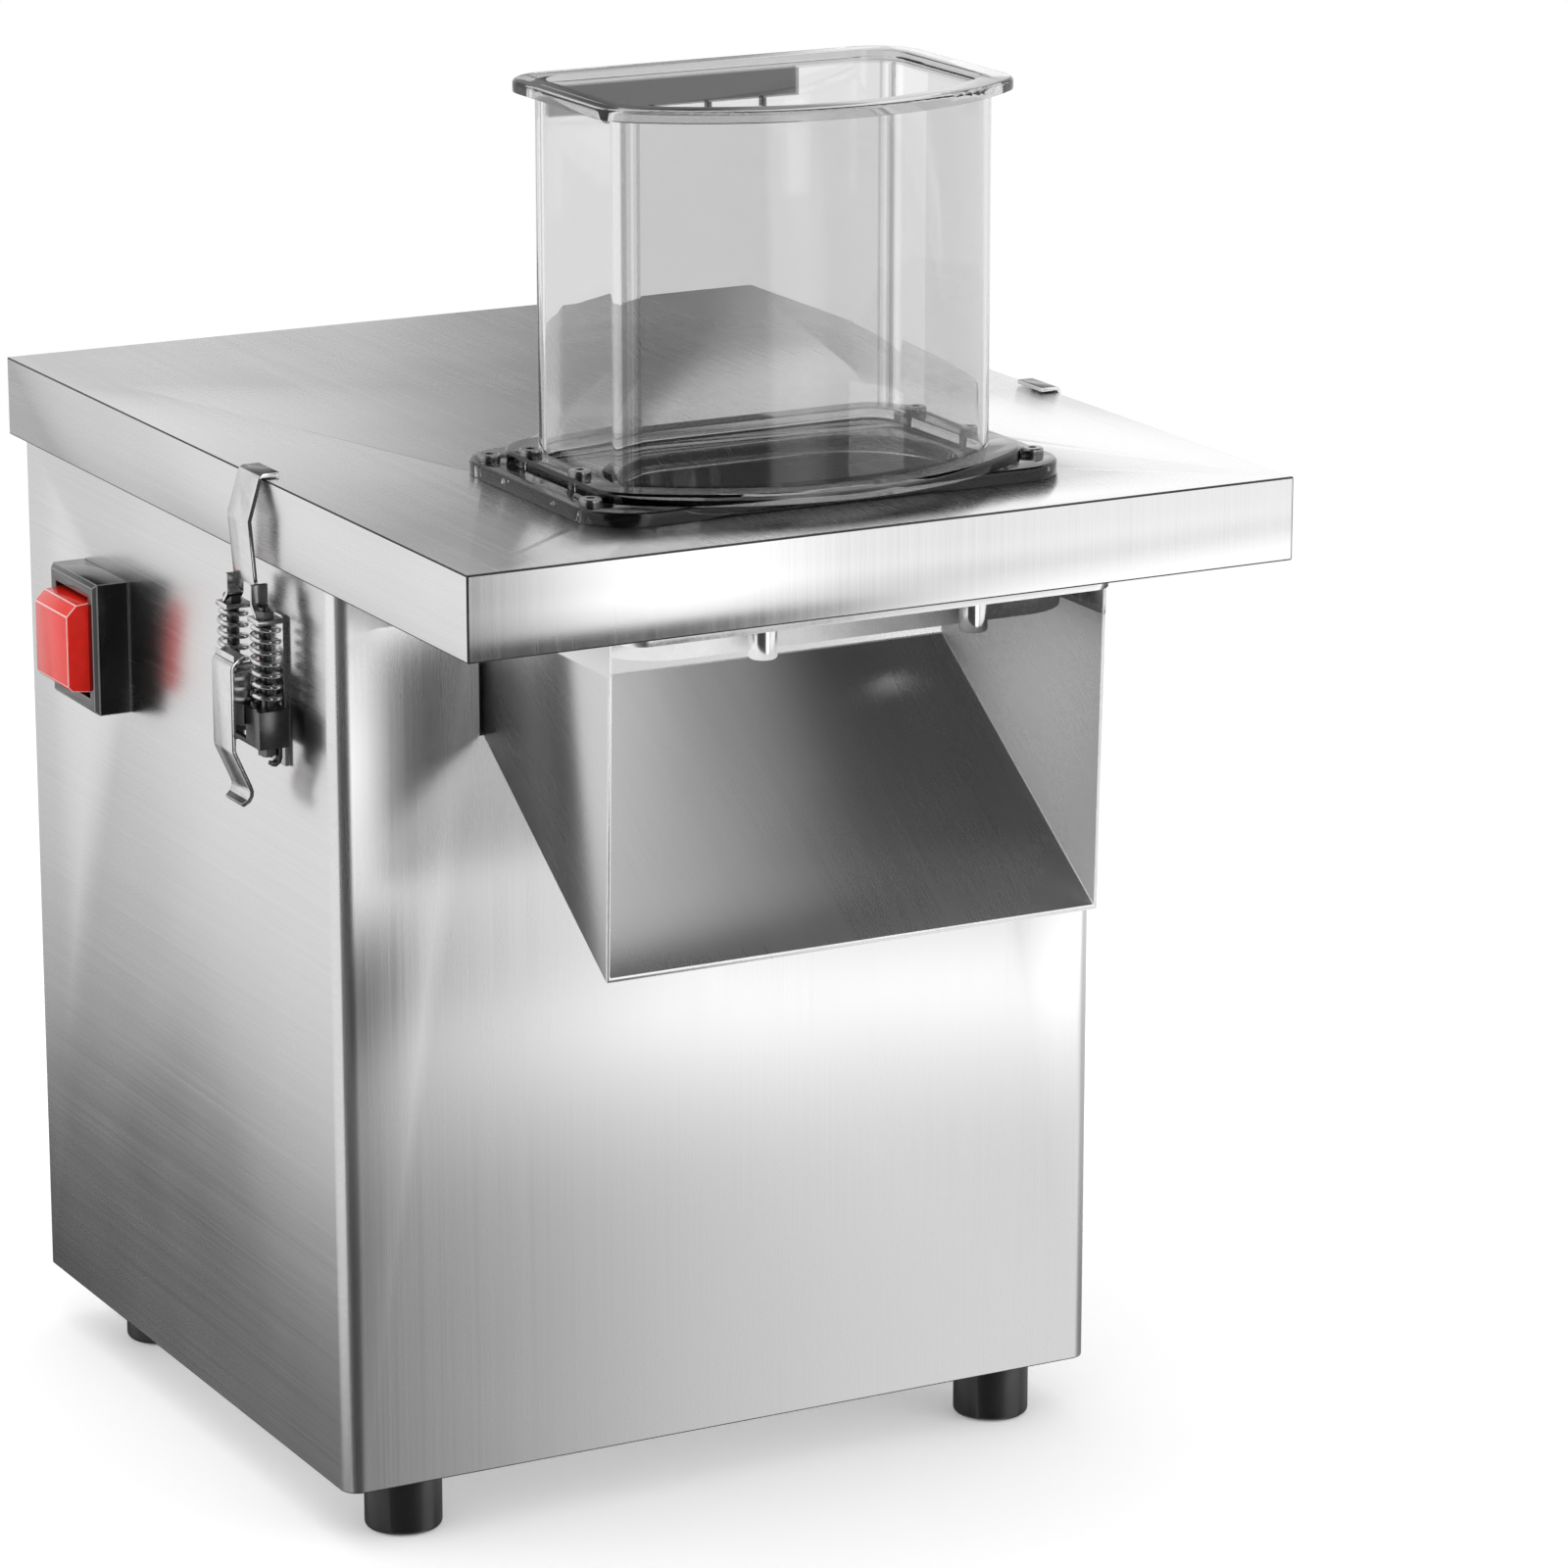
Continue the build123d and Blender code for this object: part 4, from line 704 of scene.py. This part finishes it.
def rampOf(tree, value, stops):    # stops: (place, brightness) pairs in metres and units of light
    start, end = stops[0][0], stops[-1][0]
    share = remap(tree, value, 0.0, 1.0, start, end)
    ramp = tree.nodes.new("ShaderNodeValToRGB")
    ramp.color_ramp.interpolation = "EASE"
    elements = ramp.color_ramp.elements
    for index, (place, level) in enumerate(stops):
        position = (place - start) / (end - start)
        if index == 0:
            element = elements[0]
        elif index == len(stops) - 1:
            element = elements[-1]
        else:
            element = elements.new(position)
        element.position = position
        element.color = (level, level, level, 1.0)
    tree.links.new(share, ramp.inputs[0])
    return ramp.outputs[0]


# Each card: a corner, two edges from it, and (place, brightness) stops along X (0), Y (1) or Z (2)
cards = {
    "frontLow": {"corner": (-1.4, -0.62, -1.2), "edges": ((3.2, 0, 0), (0, 0, 1.3)), "levels": {
        0: [(-0.1, 0.12), (0.1, 0.3), (0.15, 0.34), (0.178, 0.4), (0.205, 0.54), (0.235, 0.8), (0.275, 1.12),
            (0.32, 1.38), (0.4, 1.6), (0.6, 1.65)],
        2: [(-0.25, 0.54), (-0.15, 0.72), (-0.11, 0.9), (-0.07, 1.1), (-0.035, 0.96), (0.0, 0.8),
            (0.05, 0.72)]}},
    "frontShade": {"corner": (-0.3, -0.6, -0.01), "edges": ((0.6, 0, 0), (0, 0, 0.095)), "levels": {
        0: [(-0.3, 0.02), (0.17, 0.03), (0.215, 0.25), (0.3, 1.0)]}},
    "frontHigh": {"corner": (-1.4, -0.62, 0.1), "edges": ((3.2, 0, 0), (0, 0, 0.965)), "levels": {
        0: [(-0.08, 0.05), (-0.03, 1.4), (0.06, 1.75), (0.13, 1.3), (0.17, 0.72), (0.22, 0.66), (0.35, 0.95)],
        2: [(0.1, 0.85), (0.165, 1.0), (0.24, 1.2), (0.3, 1.1), (1.0, 1.1)]}},
    "left": {"corner": (-0.535, -0.2, -1.5), "edges": ((0, 3.0, 0), (0, 0, 1.8)), "levels": {
        2: [(-0.34, 0.16), (-0.24, 0.48), (-0.14, 0.68), (-0.04, 0.78), (0.05, 0.86)]}},
    "behindLow": {"corner": (-1.5, 1.25, -1.5), "edges": ((2.2, 0, 0), (0, 0, 1.85)), "levels": {
        2: [(-0.34, 0.1), (-0.24, 0.36), (-0.14, 0.54), (-0.04, 0.62), (0.05, 0.7)]}},
    "behind": {"corner": (-1.5, 1.25, 0.35), "edges": ((4.0, 0, 0), (0, 0, 1.25)), "levels": {
        0: [(0.1, 0.66), (0.2, 0.7), (0.33, 0.72), (0.45, 0.58), (0.55, 0.34), (0.62, 0.18), (0.69, 0.2),
            (0.76, 0.9), (0.82, 1.1)],
        2: [(0.35, 1.15), (0.68, 1.2), (0.73, 1.28), (0.765, 1.0), (1.6, 1.0)]}},
    "underLid": {"corner": (-0.12, -0.178, 0.2995), "edges": ((0.3, 0, 0), (0, 0.14, 0)), "levels": {
        0: [(-0.06, 1.0), (-0.02, 0.72), (0.015, 0.34), (0.05, 0.06), (0.09, 0.08), (0.13, 0.16)]}},
    "overhead": {"corner": (-1.2, -1.6, 1.7), "edges": ((3.0, 0, 0), (0, 2.2, 0)), "levels": {
        1: [(-1.6, 0.3), (-1.2, 0.05), (0.3, 0.05), (0.6, 0.5)]}},
    "leftFront": {"corner": (-1.5, -1.6, -1.0), "edges": ((0.9, -0.5, 0), (0, 0, 1.6)), "levels": {
        2: [(-1.0, 0.03), (0.6, 0.08)]}},
    "right": {"corner": (0.7, -0.3, -1.2), "edges": ((0, 2.0, 0), (0, 0, 1.6)), "levels": {
        2: [(-0.3, 0.2), (-0.15, 0.5), (0.0, 0.75), (0.1, 0.9)]}},
}


def makeCard(name, values):
    corner = Vector(values["corner"])
    along, up = (Vector(edge) for edge in values["edges"])
    deselectAll()
    bpy.ops.mesh.primitive_plane_add(size=1, location=(0.5, 0.5, 0))
    card = bpy.context.object
    bpy.ops.object.transform_apply(location=True, rotation=True, scale=True)
    flat = along.cross(up).normalized()
    card.matrix_world = Matrix(((along.x, up.x, flat.x, corner.x), (along.y, up.y, flat.y, corner.y),
                                (along.z, up.z, flat.z, corner.z), (0, 0, 0, 1)))
    bpy.ops.object.transform_apply(location=True, rotation=True, scale=True)
    card.name = "card" + name[0].upper() + name[1:]
    material, tree, _ = newMaterial(card.name)
    split = tree.nodes.new("ShaderNodeSeparateXYZ")
    tree.links.new(objectPoint(tree), split.inputs[0])
    level = None
    for axis, stops in values["levels"].items():
        part = rampOf(tree, split.outputs[axis], stops)
        level = part if level is None else mathNode(tree, "MULTIPLY", level, part)
    glow = tree.nodes.new("ShaderNodeEmission")
    tree.links.new(level, glow.inputs["Strength"])
    tree.links.new(glow.outputs[0], tree.nodes["Material Output"].inputs["Surface"])
    setMaterial(card, material)
    card.visible_camera = False
    card.visible_diffuse = False
    card.visible_transmission = False
    card.visible_shadow = False


makeFloor()
makeWorld()
for cardName, values in cards.items():
    makeCard(cardName, values)

lamps = {
    "top": {"place": (-0.3, -0.2, 1.9), "aim": (0, 0, 0.2), "size": (1.6, 1.6), "power": 9.0},
    "right": {"place": (1.6, -1.9, 0.9), "aim": (0, 0, 0.15), "size": (1.2, 1.4), "power": 10.0},
    "left": {"place": (-2.2, 0.6, 1.1), "aim": (0, 0, 0.25), "size": (0.9, 1.2), "power": 5.0},
}
for lampName, values in lamps.items():
    lampData = bpy.data.lights.new(lampName, "AREA")
    lampData.shape = "RECTANGLE"
    lampData.size, lampData.size_y = values["size"]
    lampData.energy = values["power"]
    lamp = bpy.data.objects.new(lampName, lampData)
    bpy.context.scene.collection.objects.link(lamp)
    lamp.visible_glossy = False
    lamp.location = values["place"]
    lamp.rotation_euler = (Vector(values["aim"]) - Vector(values["place"])).to_track_quat("-Z", "Y").to_euler()
bpy.context.scene.view_settings.view_transform = "Standard"
print("room ready")
